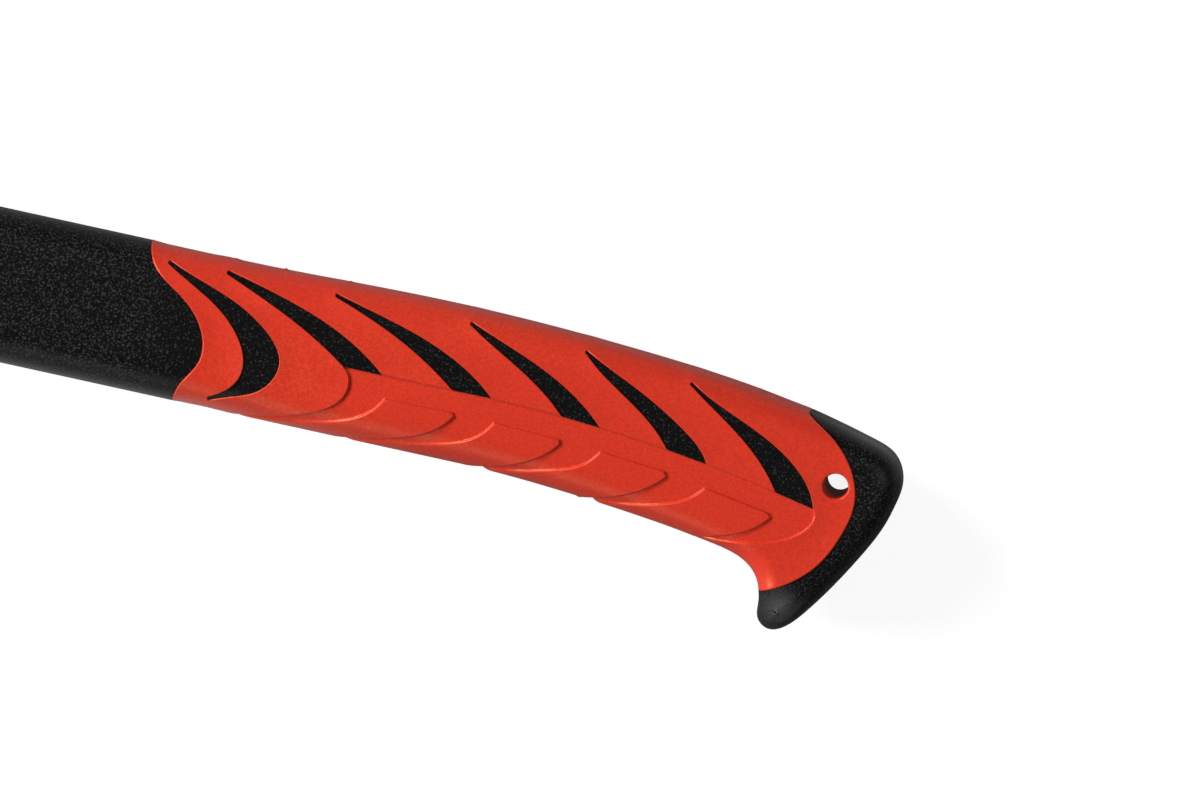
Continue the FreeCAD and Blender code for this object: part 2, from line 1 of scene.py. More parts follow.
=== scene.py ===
"""Looks of a pick-head fire axe: moulded black handle, two-colour grip and enamelled forged head.

Everything is drawn in millimetres in the model's own frame (the hanging hole is the origin, +X runs
to the pommel, +Y to the pick side, Z is the thickness) and stored in metres.
"""
import logging
import math
from dataclasses import dataclass, field
from enum import Enum
from typing import Any, Callable, Iterable, Optional, Sequence

import bmesh
import bpy
import numpy as np
from mathutils import Matrix, Vector, noise
from mathutils.geometry import delaunay_2d_cdt


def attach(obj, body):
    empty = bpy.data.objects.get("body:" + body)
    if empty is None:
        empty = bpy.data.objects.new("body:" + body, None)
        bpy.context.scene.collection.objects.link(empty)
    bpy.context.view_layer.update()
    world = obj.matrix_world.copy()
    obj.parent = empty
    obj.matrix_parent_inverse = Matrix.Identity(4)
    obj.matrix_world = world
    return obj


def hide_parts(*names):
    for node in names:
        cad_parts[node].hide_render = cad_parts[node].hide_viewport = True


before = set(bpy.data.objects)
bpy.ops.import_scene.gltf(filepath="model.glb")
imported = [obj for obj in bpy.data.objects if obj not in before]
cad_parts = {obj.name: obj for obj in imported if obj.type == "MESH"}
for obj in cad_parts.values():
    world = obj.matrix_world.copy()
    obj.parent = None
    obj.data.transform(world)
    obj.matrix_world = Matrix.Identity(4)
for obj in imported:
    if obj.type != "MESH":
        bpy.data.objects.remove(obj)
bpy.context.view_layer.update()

LOG = logging.getLogger("fire_axe")
MM = 0.001
ONE_PLACE = 1e-4     # places nearer than this are one
FACET_JOIN = 0.002   # and so are the corners of a solid's facets that are nearer than this
ON_LINE = 0.01       # a place nearer than this to a line lies on it
EVEN_WEIGHT = 60     # how strongly large faces rule the shading at an edge
Place = tuple[float, float]
Line = tuple[Place, ...]
Colour = tuple[float, float, float]
Spot = tuple[float, float, float]


class Axis(Enum):
    """A direction of the model's frame, as its number."""

    ALONG = 0
    ACROSS = 1


# ---------------------------------------------------------------- curves and solids


def end_slope(times: np.ndarray, places: np.ndarray, last: bool) -> np.ndarray:
    """Slope that a curve through places takes at one end when nothing else sets it.

    Args:
        times: chord lengths at the places.
        places: the places, one row each.
        last: True for the far end.
    Returns:
        The slope of the polynomial through the nearest four places.
    """
    count = min(4, len(times))
    span = slice(-count, None) if last else slice(0, count)
    at = times[-1] if last else times[0]
    fits = [np.polyfit(times[span] - at, places[span, axis], count - 1) for axis in (0, 1)]
    return np.array([fit[-2] for fit in fits])


def smooth(through: Sequence[Place], start: Optional[Place] = None, end: Optional[Place] = None,
           step: float = 1.1) -> list[Vector]:
    """Places along a smooth curve through a few given ones.

    Args:
        through: the given places.
        start: direction at the first place.
        end: direction at the last place.
        step: distance between neighbouring places of the result.
    Returns:
        Places along the curve, both ends included.
    """
    places = np.array(through, dtype=float)
    chords = np.linalg.norm(np.diff(places, axis=0), axis=1)
    times = np.concatenate(([0.0], np.cumsum(chords)))
    slopes = [end_slope(times, places, False), end_slope(times, places, True)]
    for which, given in enumerate((start, end)):
        if given:
            slopes[which] = np.array(given) / np.linalg.norm(given) * np.linalg.norm(slopes[which])
    count = len(places)
    system = np.eye(count)
    target = np.zeros((count, 2))
    target[0], target[-1] = slopes
    for row in range(1, count - 1):
        before, after = 1 / chords[row - 1], 1 / chords[row]
        system[row, row - 1:row + 2] = before, 2 * (before + after), after
        target[row] = 3 * ((places[row] - places[row - 1]) * before ** 2
                           + (places[row + 1] - places[row]) * after ** 2)
    tangents = np.linalg.solve(system, target)
    result: list[Vector] = []
    for run in range(count - 1):
        pieces = max(2, round(chords[run] / step))
        for piece in range(pieces + (run == count - 2)):
            t = piece / pieces
            place = ((2 * t ** 3 - 3 * t ** 2 + 1) * places[run] + (3 * t ** 2 - 2 * t ** 3) * places[run + 1]
                     + chords[run] * ((t ** 3 - 2 * t ** 2 + t) * tangents[run]
                                      + (t ** 3 - t ** 2) * tangents[run + 1]))
            result.append(Vector(place))
    return result


def straight(first: Place, last: Place, step: float = 6.0) -> list[Vector]:
    """Places along a straight line, both ends included."""
    pieces = max(1, round(math.dist(first, last) / step))
    return [Vector(first).lerp(Vector(last), piece / pieces) for piece in range(pieces + 1)]


def half_circle(first: Place, last: Place, pieces: int = 6) -> list[Vector]:
    """Places along a half circle that stands out to the left of the line from first to last.

    Args:
        first: where it starts.
        last: where it ends.
        pieces: straight pieces in the result.
    Returns:
        Places along it, both ends included.
    """
    start, end = Vector(first), Vector(last)
    centre = (start + end) / 2
    turns = [Matrix.Rotation(-math.pi * piece / pieces, 2) for piece in range(pieces + 1)]
    return [centre + turn @ (start - centre) for turn in turns]


def chain(*runs: Sequence[Vector]) -> list[Vector]:
    """Join runs end to end and drop the places that they share.

    Args:
        runs: places along each run.
    Returns:
        Places along a loop, which closes from the last to the first.
    """
    joined: list[Vector] = []
    for run in runs:
        joined.extend(place for place in run if not joined or (place - joined[-1]).length > ONE_PLACE)
    if (joined[0] - joined[-1]).length < ONE_PLACE:
        joined.pop()
    return joined


def added(name: str, data: bpy.types.ID) -> bpy.types.Object:
    """Add an object to the scene.

    Args:
        name: the object's name.
        data: its mesh, camera or lamp.
    Returns:
        The object.
    """
    thing = bpy.data.objects.new(name, data)
    bpy.context.collection.objects.link(thing)
    return thing


class Solid:
    """A body being modelled, in millimetres, with the operators that shape it."""

    def __init__(self, name: str, mesh: bmesh.types.BMesh) -> None:
        """Keep a finished bmesh as an object of the scene.

        Args:
            name: the object's name.
            mesh: the bmesh, which is freed.
        """
        self.thing = added(name, bpy.data.meshes.new(name))
        mesh.to_mesh(self.thing.data)
        mesh.free()

    @classmethod
    def of_node(cls, name: str, node: str) -> "Solid":
        """A copy of one of the frame's solids, with its facets joined.

        Args:
            name: the copy's name.
            node: the solid's name in the frame.
        Returns:
            The copy.
        """
        mesh = bmesh.new()
        mesh.from_mesh(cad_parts[node].data)
        bmesh.ops.scale(mesh, vec=(1 / MM,) * 3, verts=mesh.verts)
        bmesh.ops.remove_doubles(mesh, verts=mesh.verts, dist=FACET_JOIN)
        return cls(name, mesh)

    def carve(self, *tools: "Solid") -> "Solid":
        """Take other bodies away from this one, in order, and remove them.

        Args:
            tools: the bodies to take away.
        Returns:
            This body.
        """
        for tool in tools:
            carving = self.thing.modifiers.new("carving", "BOOLEAN")
            carving.operation = "DIFFERENCE"
            carving.solver = "EXACT"
            carving.object = tool.thing
        evaluated = self.thing.evaluated_get(bpy.context.evaluated_depsgraph_get())
        shaped = bpy.data.meshes.new_from_object(evaluated)
        self.thing.modifiers.clear()
        spare, self.thing.data = self.thing.data, shaped
        for mesh in (spare, *[tool.thing.data for tool in tools]):
            bpy.data.meshes.remove(mesh)
        return self

    def finish(self, paint: bpy.types.Material, sharp: float = 35.0,
               surface: Optional["Surface"] = None) -> bpy.types.Object:
        """Turn the body into a finished piece in metres.

        Args:
            paint: its material.
            sharp: angle in degrees from which an edge stays sharp.
            surface: what its faces follow, if they take their shading from that.
        Returns:
            The object.
        """
        mesh = self.thing.data
        mesh.shade_smooth()
        mesh.set_sharp_from_angle(angle=math.radians(sharp))
        if surface:
            mesh.normals_split_custom_set(surface.shading(mesh))
        else:
            weighted = self.thing.modifiers.new("even_shading", "WEIGHTED_NORMAL")
            weighted.keep_sharp = True
            weighted.weight = EVEN_WEIGHT
        mesh.transform(Matrix.Scale(MM, 4))
        mesh.materials.append(paint)
        return self.thing


def closed(mesh: bmesh.types.BMesh) -> bmesh.types.BMesh:
    """Turn a closed mesh's faces outwards and split its many-sided faces, ready for carving.

    Args:
        mesh: the mesh.
    Returns:
        The same mesh.
    """
    bmesh.ops.recalc_face_normals(mesh, faces=mesh.faces)
    bmesh.ops.triangulate(mesh, faces=[face for face in mesh.faces if len(face.verts) > 4])
    return mesh


def corners_in(geom: Iterable[Any]) -> list[bmesh.types.BMVert]:
    """The corners among what an operator returned."""
    return [item for item in geom if isinstance(item, bmesh.types.BMVert)]


def mirrored(mesh: bmesh.types.BMesh) -> None:
    """Add a mesh's mirror image under its middle plane and join the two."""
    bmesh.ops.mirror(mesh, geom=mesh.verts[:] + mesh.edges[:] + mesh.faces[:], matrix=Matrix.Identity(4),
                     merge_dist=ONE_PLACE, axis="Z")


def prism(name: str, loop: Sequence[Vector], low: float, high: float) -> Solid:
    """A closed loop drawn in plan and pulled up between two heights.

    Args:
        name: the body's name.
        loop: places along the loop.
        low: where it starts.
        high: where it ends.
    Returns:
        The closed body.
    """
    mesh = bmesh.new()
    floor = mesh.faces.new([mesh.verts.new((place.x, place.y, low)) for place in loop])
    pulled = bmesh.ops.extrude_face_region(mesh, geom=[floor])["geom"]
    bmesh.ops.translate(mesh, vec=(0, 0, high - low), verts=corners_in(pulled))
    return Solid(name, closed(mesh))


def round_bar(name: str, diameter: float, low: float, high: float, segments: int = 64) -> Solid:
    """A cylinder on the hanging hole's axis.

    Args:
        name: the body's name.
        diameter: its diameter.
        low: where it starts.
        high: where it ends.
        segments: its number of sides.
    Returns:
        The closed body.
    """
    mesh = bmesh.new()
    lift = Matrix.Translation((0, 0, (low + high) / 2))
    bmesh.ops.create_cone(mesh, cap_ends=True, segments=segments, radius1=diameter / 2, radius2=diameter / 2,
                          depth=high - low, matrix=lift)
    return Solid(name, mesh)


def dressed(piece: bpy.types.Object, node: str) -> bpy.types.Object:
    """Hang a finished piece on the body's root and hide the solid that it stands for.

    Args:
        piece: the piece.
        node: the solid's name in the frame.
    Returns:
        The piece.
    """
    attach(piece, "root")
    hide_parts(node)
    return piece


# ---------------------------------------------------------------- plan geometry

def polygon(loop: Sequence[Vector]) -> np.ndarray:
    """A loop's places as rows of two numbers.

    Args:
        loop: the places.
    Returns:
        The rows, in the order that turns left.
    """
    places = np.array([tuple(place) for place in loop])
    after = np.roll(places, -1, axis=0)
    turns_left = (places[:, 0] * after[:, 1] - places[:, 1] * after[:, 0]).sum() > 0
    return places if turns_left else places[::-1]


def ring(radius: float, pieces: int = 64) -> np.ndarray:
    """A circle round the hanging hole's axis, as a loop."""
    turns = np.arange(pieces) * (2 * math.pi / pieces)
    return np.column_stack((np.cos(turns), np.sin(turns))) * radius


def shifted(loop: np.ndarray, out: float) -> np.ndarray:
    """A loop moved outwards all along, with its corners kept.

    Args:
        loop: places along the loop, turning left.
        out: how far it moves, which is less than nothing for inwards.
    Returns:
        Places along the moved loop.
    """
    ways = np.roll(loop, -1, axis=0) - loop
    ways /= np.linalg.norm(ways, axis=1)[:, None]
    sides = np.column_stack((ways[:, 1], -ways[:, 0]))
    before = np.roll(sides, 1, axis=0)
    lean = 1 + (sides * before).sum(axis=1)
    return loop + (sides + before) / np.maximum(lean, 0.5)[:, None] * out


def inside(places: np.ndarray, loop: np.ndarray) -> np.ndarray:
    """Which places lie within a loop.

    Args:
        places: the places.
        loop: places along the loop.
    Returns:
        True for each place that lies within.
    """
    result = np.zeros(len(places), dtype=bool)
    for (x1, y1), (x2, y2) in zip(loop, np.roll(loop, -1, axis=0)):
        if y1 != y2:
            crossing = (places[:, 1] < y1) != (places[:, 1] < y2)
            reach = x1 + (places[:, 1] - y1) * (x2 - x1) / (y2 - y1)
            result ^= crossing & (places[:, 0] < reach)
    return result


def from_line(places: np.ndarray, start: np.ndarray, end: np.ndarray) -> tuple[np.ndarray, np.ndarray]:
    """How places lie to a straight line.

    Args:
        places: the places.
        start: where the line starts.
        end: where it ends.
    Returns:
        The share of the line at which it is nearest to each place, and the distance there.
    """
    way = end - start
    share = np.clip(((places - start) @ way) / (way @ way), 0, 1)[:, None]
    return share, np.linalg.norm(places - start - share * way, axis=1)


def signed(places: np.ndarray, loop: np.ndarray) -> np.ndarray:
    """Distance of places from a loop.

    Args:
        places: the places.
        loop: places along the loop.
    Returns:
        The distances, less than nothing within the loop.
    """
    nearest = np.full(len(places), np.inf)
    for start, end in zip(loop, np.roll(loop, -1, axis=0)):
        nearest = np.minimum(nearest, from_line(places, start, end)[1])
    return np.where(inside(places, loop), -nearest, nearest)


def rounded(distance: np.ndarray, width: float, drop: float) -> np.ndarray:
    """Depth of a rounded rim, at distances back from its corner."""
    return drop * np.clip(1 - distance / width, 0, 1) ** 2


def woven(lines: Sequence[tuple[np.ndarray, bool]], loose: np.ndarray,
          apart: float = 0.012) -> tuple[np.ndarray, np.ndarray]:
    """Weave triangles between lines, so that each line is followed by edges.

    Args:
        lines: places along each line, and whether the line closes on itself.
        loose: further places, which lie on no line.
        apart: places nearer than this become one.
    Returns:
        The places, and the three places of each triangle.
    """
    places = [Vector(place) for place in loose]
    edges: list[tuple[int, int]] = []
    for line, closes in lines:
        start = len(places)
        places.extend(Vector(place) for place in line)
        edges += [(index, index + 1) for index in range(start, len(places) - 1)]
        if closes:
            edges.append((len(places) - 1, start))
    found = delaunay_2d_cdt(places, edges, [], 0, apart)
    return np.array([tuple(place) for place in found[0]]), np.array([tuple(face) for face in found[2]])


@dataclass
class Surface:
    """The upper surface of a rounded plate, as heights over its outline in plan."""

    spots: np.ndarray
    inward: np.ndarray
    radii: np.ndarray
    half: float
    follows_within: float = 20.0

    @classmethod
    def of(cls, shape: "HandleShape", half: float, first_x: Optional[float] = None) -> "Surface":
        """The surface of a plate with the handle's outline."""
        return cls(*[np.array(values) for values in shape.path(first_x)], half)

    def rows(self, steps: int) -> list[np.ndarray]:
        """Lines along the rounded edge, from the outline in to the flat."""
        insets = [1 - math.cos(math.radians(90) * step / steps) for step in range(steps + 1)]
        return [self.spots + self.inward * (self.radii * inset)[:, None] for inset in insets]

    def at(self, places: np.ndarray) -> tuple[np.ndarray, np.ndarray, np.ndarray]:
        """Points of the surface over places in plan.

        Args:
            places: the places.
        Returns:
            The points, their outward directions, and the places' distances from the outline.
        """
        nearest = np.full(len(places), np.inf)
        inward = np.zeros((len(places), 2))
        radius = np.ones(len(places))
        for index in range(len(self.spots) - 1):
            share, away = from_line(places, self.spots[index], self.spots[index + 1])
            nearer = away < nearest
            nearest[nearer] = away[nearer]
            inward[nearer] = (self.inward[index] * (1 - share) + self.inward[index + 1] * share)[nearer]
            radius[nearer] = (self.radii[index] * (1 - share) + self.radii[index + 1] * share)[nearer, 0]
        inward /= np.linalg.norm(inward, axis=1)[:, None]
        level = np.clip((radius - nearest) / radius, 0, 1)
        up = np.sqrt(1 - level ** 2)
        normals = np.column_stack((-inward * level[:, None], up))
        points = np.column_stack((places, self.half - radius + radius * up))
        return points, normals, nearest

    def shading(self, mesh: bpy.types.Mesh) -> np.ndarray:
        """Shading directions for a mesh, taken from this surface where a face follows it.

        Args:
            mesh: the mesh.
        Returns:
            A direction for each face corner.
        """
        spots = np.array([tuple(vert.co) for vert in mesh.vertices])
        own = self.at(spots[:, :2])[1]
        own[spots[:, 2] < 0, 2] *= -1
        owners = np.array([loop.vertex_index for loop in mesh.loops])
        facing = np.repeat(np.array([tuple(face.normal) for face in mesh.polygons]),
                           [face.loop_total for face in mesh.polygons], axis=0)
        follows = (facing * own[owners]).sum(axis=1) > math.cos(math.radians(self.follows_within))
        usual = np.array([tuple(corner.vector) for corner in mesh.corner_normals])
        return np.where(follows[:, None], own[owners], usual)


# ---------------------------------------------------------------- handle

@dataclass(frozen=True)
class HandleShape:
    """The handle's drawn outline and how its edges are rounded."""

    back: float = 25.0
    depth: float = 42.5
    half_thickness: float = 13.5
    heel: float = 17.7
    toe: float = -43.8
    neck_x: float = -719.14
    neck_half: float = 27.0
    neck_length: float = 90.0
    belly_start: float = -180.0
    belly_end: float = -105.0
    shaft_round: float = 11.5
    pommel_round: float = 7.5
    toe_round: float = 6.0
    round_steps: int = 12

    @property
    def front(self) -> float:
        """Where the front edge of the shaft runs."""
        return self.back - self.depth

    @property
    def middle(self) -> float:
        """Where the middle of the shaft runs."""
        return self.back - self.depth / 2

    def runs(self) -> list[tuple[list[Place], Place, Place, float, float]]:
        """The outline from the neck's back corner round the pommel to its front corner.

        Returns:
            For each run its places, its two end directions, and the rounding at its two ends.
        """
        back, front, heel, toe = self.back, self.front, self.heel, self.toe
        swell_x = self.neck_x + self.neck_length
        high, low = self.middle + self.neck_half, self.middle - self.neck_half
        shaft, pommel, small = self.shaft_round, self.pommel_round, self.toe_round
        along, home = (1, 0), (-1, 0)
        heel_down, heel_back, toe_down, toe_up = (0.965, -0.27), (-0.25, -1), (-0.6, -0.8), (-0.05, 1)
        throat_out = (-0.98, 0.18)
        heel_top, heel_low = (heel - 9.2, back - 11.9), (heel - 1.1, -5.0)
        toe_back, toe_front, throat_end = (-1.0, toe + 6.8), (-14.5, toe + 6.3), (-34.0, front - 5.9)
        heel_round, throat = pommel + 0.5, (shaft + small) / 2
        return [
            ([(self.neck_x, high), (swell_x, back)], along, along, shaft, shaft),
            ([(swell_x, back), (self.belly_start, back)], along, along, shaft, shaft),
            ([(self.belly_start, back), (-120, back + 1.15), (-60, back - 1.0), (-20, back - 5.4), heel_top],
             along, heel_down, shaft, heel_round),
            ([heel_top, (heel - 3.1, back - 15.0), (heel, back - 21.4), heel_low], heel_down, heel_back,
             heel_round, pommel),
            ([heel_low, (heel - 7.2, -19.0), toe_back], heel_back, toe_down, pommel, small),
            ([toe_back, (-6.3, toe + 1.2), (-10.5, toe), (-13.9, toe + 2.5), toe_front], toe_down, toe_up,
             small, small),
            ([toe_front, (-15.6, toe + 11.0), (-19.0, toe + 15.6), (-24.5, front - 7.9), throat_end], toe_up,
             throat_out, small, throat),
            ([throat_end, (-50, front - 3.65), (-75, front - 1.3), (self.belly_end, front)], throat_out, home,
             throat, shaft),
            ([(self.belly_end, front), (swell_x, front)], home, home, shaft, shaft),
            ([(swell_x, front), (self.neck_x, low)], home, home, shaft, shaft),
        ]

    def path(self, first_x: Optional[float] = None) -> tuple[list[Vector], list[Vector], list[float]]:
        """The outline as close places.

        Args:
            first_x: leave out what lies further up the handle than this.
        Returns:
            The places, the inward directions there, and the edge rounding there.
        """
        path: list[tuple[Vector, float]] = []
        for places, start, end, round_start, round_end in self.runs():
            run = straight(*places) if len(places) == 2 else smooth(places, start, end)
            for index, place in enumerate(run):
                share = index / (len(run) - 1)
                if not path or (place - path[-1][0]).length > ONE_PLACE:
                    path.append((place, round_start + (round_end - round_start) * share))
        if first_x is not None:
            path = [item for item in path if item[0].x >= first_x]
        spots = [item[0] for item in path]
        count = len(spots)
        inward: list[Vector] = []
        for index in range(count):
            way = (spots[min(index + 1, count - 1)] - spots[max(index - 1, 0)]).normalized()
            if index in (0, count - 1):
                way = Vector((1 if index == 0 else -1, 0))
            inward.append(Vector((way.y, -way.x)))
        return spots, inward, [item[1] for item in path]

    def plate(self, name: str, grow: float, half: float, softer: float) -> Solid:
        """A rounded plate with the handle's outline.

        Args:
            name: the body's name.
            grow: how far its outline stands outside the drawn one.
            half: half its thickness.
            softer: how much larger its rounding is than the handle's.
        Returns:
            The closed body.
        """
        spots, inward, radii = self.path()
        count = len(spots)
        mesh = bmesh.new()
        line = [mesh.verts.new((spot.x - into.x * grow, spot.y - into.y * grow, 0))
                for spot, into in zip(spots, inward)]
        for first, second in zip(line, line[1:]):
            mesh.edges.new((first, second))
        base = [vert.co.copy() for vert in line]
        edge_line = list(mesh.edges)
        for step in range(self.round_steps + 1):
            turn = math.radians(90) * step / self.round_steps
            pulled = bmesh.ops.extrude_edge_only(mesh, edges=edge_line)["geom"]
            edge_line = [item for item in pulled if isinstance(item, bmesh.types.BMEdge)]
            raised = {self.follow(vert, line): vert for vert in corners_in(pulled)}
            line = [raised[index] for index in range(count)]
            for index, vert in enumerate(line):
                radius = radii[index] + softer
                inset = radius * (1 - math.cos(turn))
                vert.co = base[index] + Vector((inward[index].x * inset, inward[index].y * inset,
                                                half - radius + radius * math.sin(turn)))
        closing = mesh.edges.new((line[0], line[-1]))
        bmesh.ops.contextual_create(mesh, geom=edge_line + [closing])
        mirrored(mesh)
        rim = [edge for edge in mesh.edges if len(edge.link_faces) == 1]
        bmesh.ops.holes_fill(mesh, edges=rim, sides=0)
        return Solid(name, closed(mesh))

    @staticmethod
    def follow(vert: bmesh.types.BMVert, line: Sequence[bmesh.types.BMVert]) -> int:
        """Find the corner of a line that a newly pulled corner came from.

        Args:
            vert: the pulled corner.
            line: the corners of the line.
        Returns:
            The number of the corner in the line.
        """
        for edge in vert.link_edges:
            other = edge.other_vert(vert)
            if other in line:
                return line.index(other)
        raise ValueError("a pulled corner lost its line")


@dataclass(frozen=True)
class GripDrawing:
    """The two-colour pattern of the grip, drawn in plan from the hanging hole."""

    front_border: Line = ((-204, 29), (-201.6, 24), (-199.8, 20.5), (-190, 12.7), (-182, 3), (-181.3, -3.3),
                          (-185.5, -11.7), (-187.2, -17.5), (-187.6, -24))
    rear_border: Line = ((-15.3, 22), (-12.6, 18.9), (-4.2, 13.5), (4.2, 3.9), (6.3, -4), (4.7, -12.6),
                         (-0.5, -23.2), (-8.4, -30.4), (-15.3, -33.9), (-24, -36.2))
    windows: tuple[tuple[Line, Line], ...] = (
        (((-195.0, 21.8), (-180, 16.5), (-166.7, 9.8), (-159.2, -0.3), (-163, -8.3), (-170, -11.9),
          (-176.4, -14.5)),
         ((-176.9, -13.4), (-169.2, -1.3), (-175, 8.3), (-184, 14.8), (-195.2, 20.7))),
        (((-178.4, 22.5), (-155, 16.5), (-136, 7.5), (-130.3, 3.2)),
         ((-141.3, 3.2), (-150, 8.7), (-165, 16.1), (-178.6, 21.4))),
        (((-147.5, 22.7), (-125, 17.0), (-105, 8.0), (-99.1, 3.4)),
         ((-110.3, 3.3), (-120, 9.9), (-135, 17.3), (-147.5, 21.7))),
        (((-108.9, 23.1), (-90, 15.9), (-72.5, 6.1), (-67.8, 1.9)),
         ((-78.9, 2.7), (-90, 11.3), (-100, 17.0), (-108.9, 22.1))),
        (((-75.8, 22.2), (-60, 14.8), (-43.5, 5.4), (-38.1, 0.7), (-36.6, -1.7)),
         ((-48.1, -0.1), (-55, 6.7), (-65, 13.4), (-75.7, 21.2))),
        (((-45.1, 19.8), (-25, 10.4), (-12.6, 3.2), (-7.1, -2.6), (-4.8, -7.6)),
         ((-16.0, -5.3), (-22.6, 2.6), (-35, 12.1), (-45.2, 18.8))),
    )
    crease: Line = ((-141.3, 3.2), (-110, 3.4), (-85, 3.0), (-60, 1.25), (-36.6, -1.7), (-4.8, -7.6))
    panel_rear: Line = ((-4.8, -7.6), (-4.1, -9.6), (-8, -15.8), (-16, -19.7), (-28.7, -22.0), (-44, -24.6))
    panel_front: Line = ((-176, -19.5), (-160, -15.7), (-146.7, -11.2), (-139.5, -4.7), (-139.2, 0.4),
                         (-141.3, 3.2))
    scales: tuple[tuple[Line, Line], ...] = (
        (((-176, -18.6), (-160, -16.2), (-145, -13.6), (-135, -9.9), (-128.5, -2.9)),
         ((-109, -2.7), (-108.1, -3.7), (-112.7, -8.8), (-123.3, -13.9), (-133, -16.4), (-145, -19))),
        (((-142, -18.4), (-128, -15.7), (-115, -13.3), (-102.5, -8.9), (-97.2, -2.9)),
         ((-78.1, -3.6), (-77.5, -4.9), (-82.5, -10.0), (-92.5, -15.2), (-101, -17.6), (-112, -20))),
        (((-108, -19.4), (-93, -16.5), (-80, -13.1), (-70.5, -9.1), (-66.4, -4.4)),
         ((-47.5, -6.1), (-46.5, -7.6), (-51.9, -12.4), (-62.5, -17.6), (-70, -19.8), (-78, -22))),
        (((-75, -21.4), (-60, -18.5), (-48, -15.8), (-39.7, -12.1), (-35.75, -8.1)),
         ((-16.8, -11.3), (-15.7, -12.5), (-20.5, -17.1), (-31.0, -21.8), (-38, -24.2), (-46, -26.5))),
    )
    below: float = -50.0
    above: float = 32.0
    overrun: float = 2.0
    cut_off_from: float = 4.0
    window_step: float = 1.5
    scale_step: float = 2.0

    @staticmethod
    def beyond(first: Place, last: Place, level: float) -> list[Vector]:
        """The two places outside the handle that lie over or under two given ones."""
        return [Vector((first[0], level)), Vector((last[0], level))]

    def region_loop(self) -> list[Vector]:
        """The loop round all that is overmoulded."""
        first, last = self.front_border, self.rear_border
        return chain(smooth(first), self.beyond(first[-1], last[-1], self.below),
                     smooth(last[::-1]), self.beyond(last[0], first[0], self.above))

    def window_loops(self) -> list[list[Vector]]:
        """The loops of the openings that show the black body.

        Returns:
            Places along each loop.
        """
        loops = []
        for upper, lower in self.windows:
            ends = (upper[-1], lower[0])
            cut_off = ends[0][0] > ends[1][0] + self.cut_off_from
            tip = straight(*ends, self.window_step) if cut_off else half_circle(*ends)
            loops.append(chain(smooth(upper), tip, smooth(lower), half_circle(lower[-1], upper[0])))
        return loops

    def panel_loop(self) -> list[Vector]:
        """The loop of the sunk finger panel."""
        rear, front = self.panel_rear, self.panel_front
        return chain(smooth(self.crease), smooth(rear), self.beyond(rear[-1], front[0], self.below),
                     smooth(front))

    def scale_loops(self) -> list[list[Vector]]:
        """The loops of the raised scales on the panel."""
        return [chain(smooth(hollow), straight(hollow[-1], full[0], self.scale_step), smooth(full[1:]),
                      self.beyond(full[-1], hollow[0], self.below - self.overrun))
                for hollow, full in self.scales]


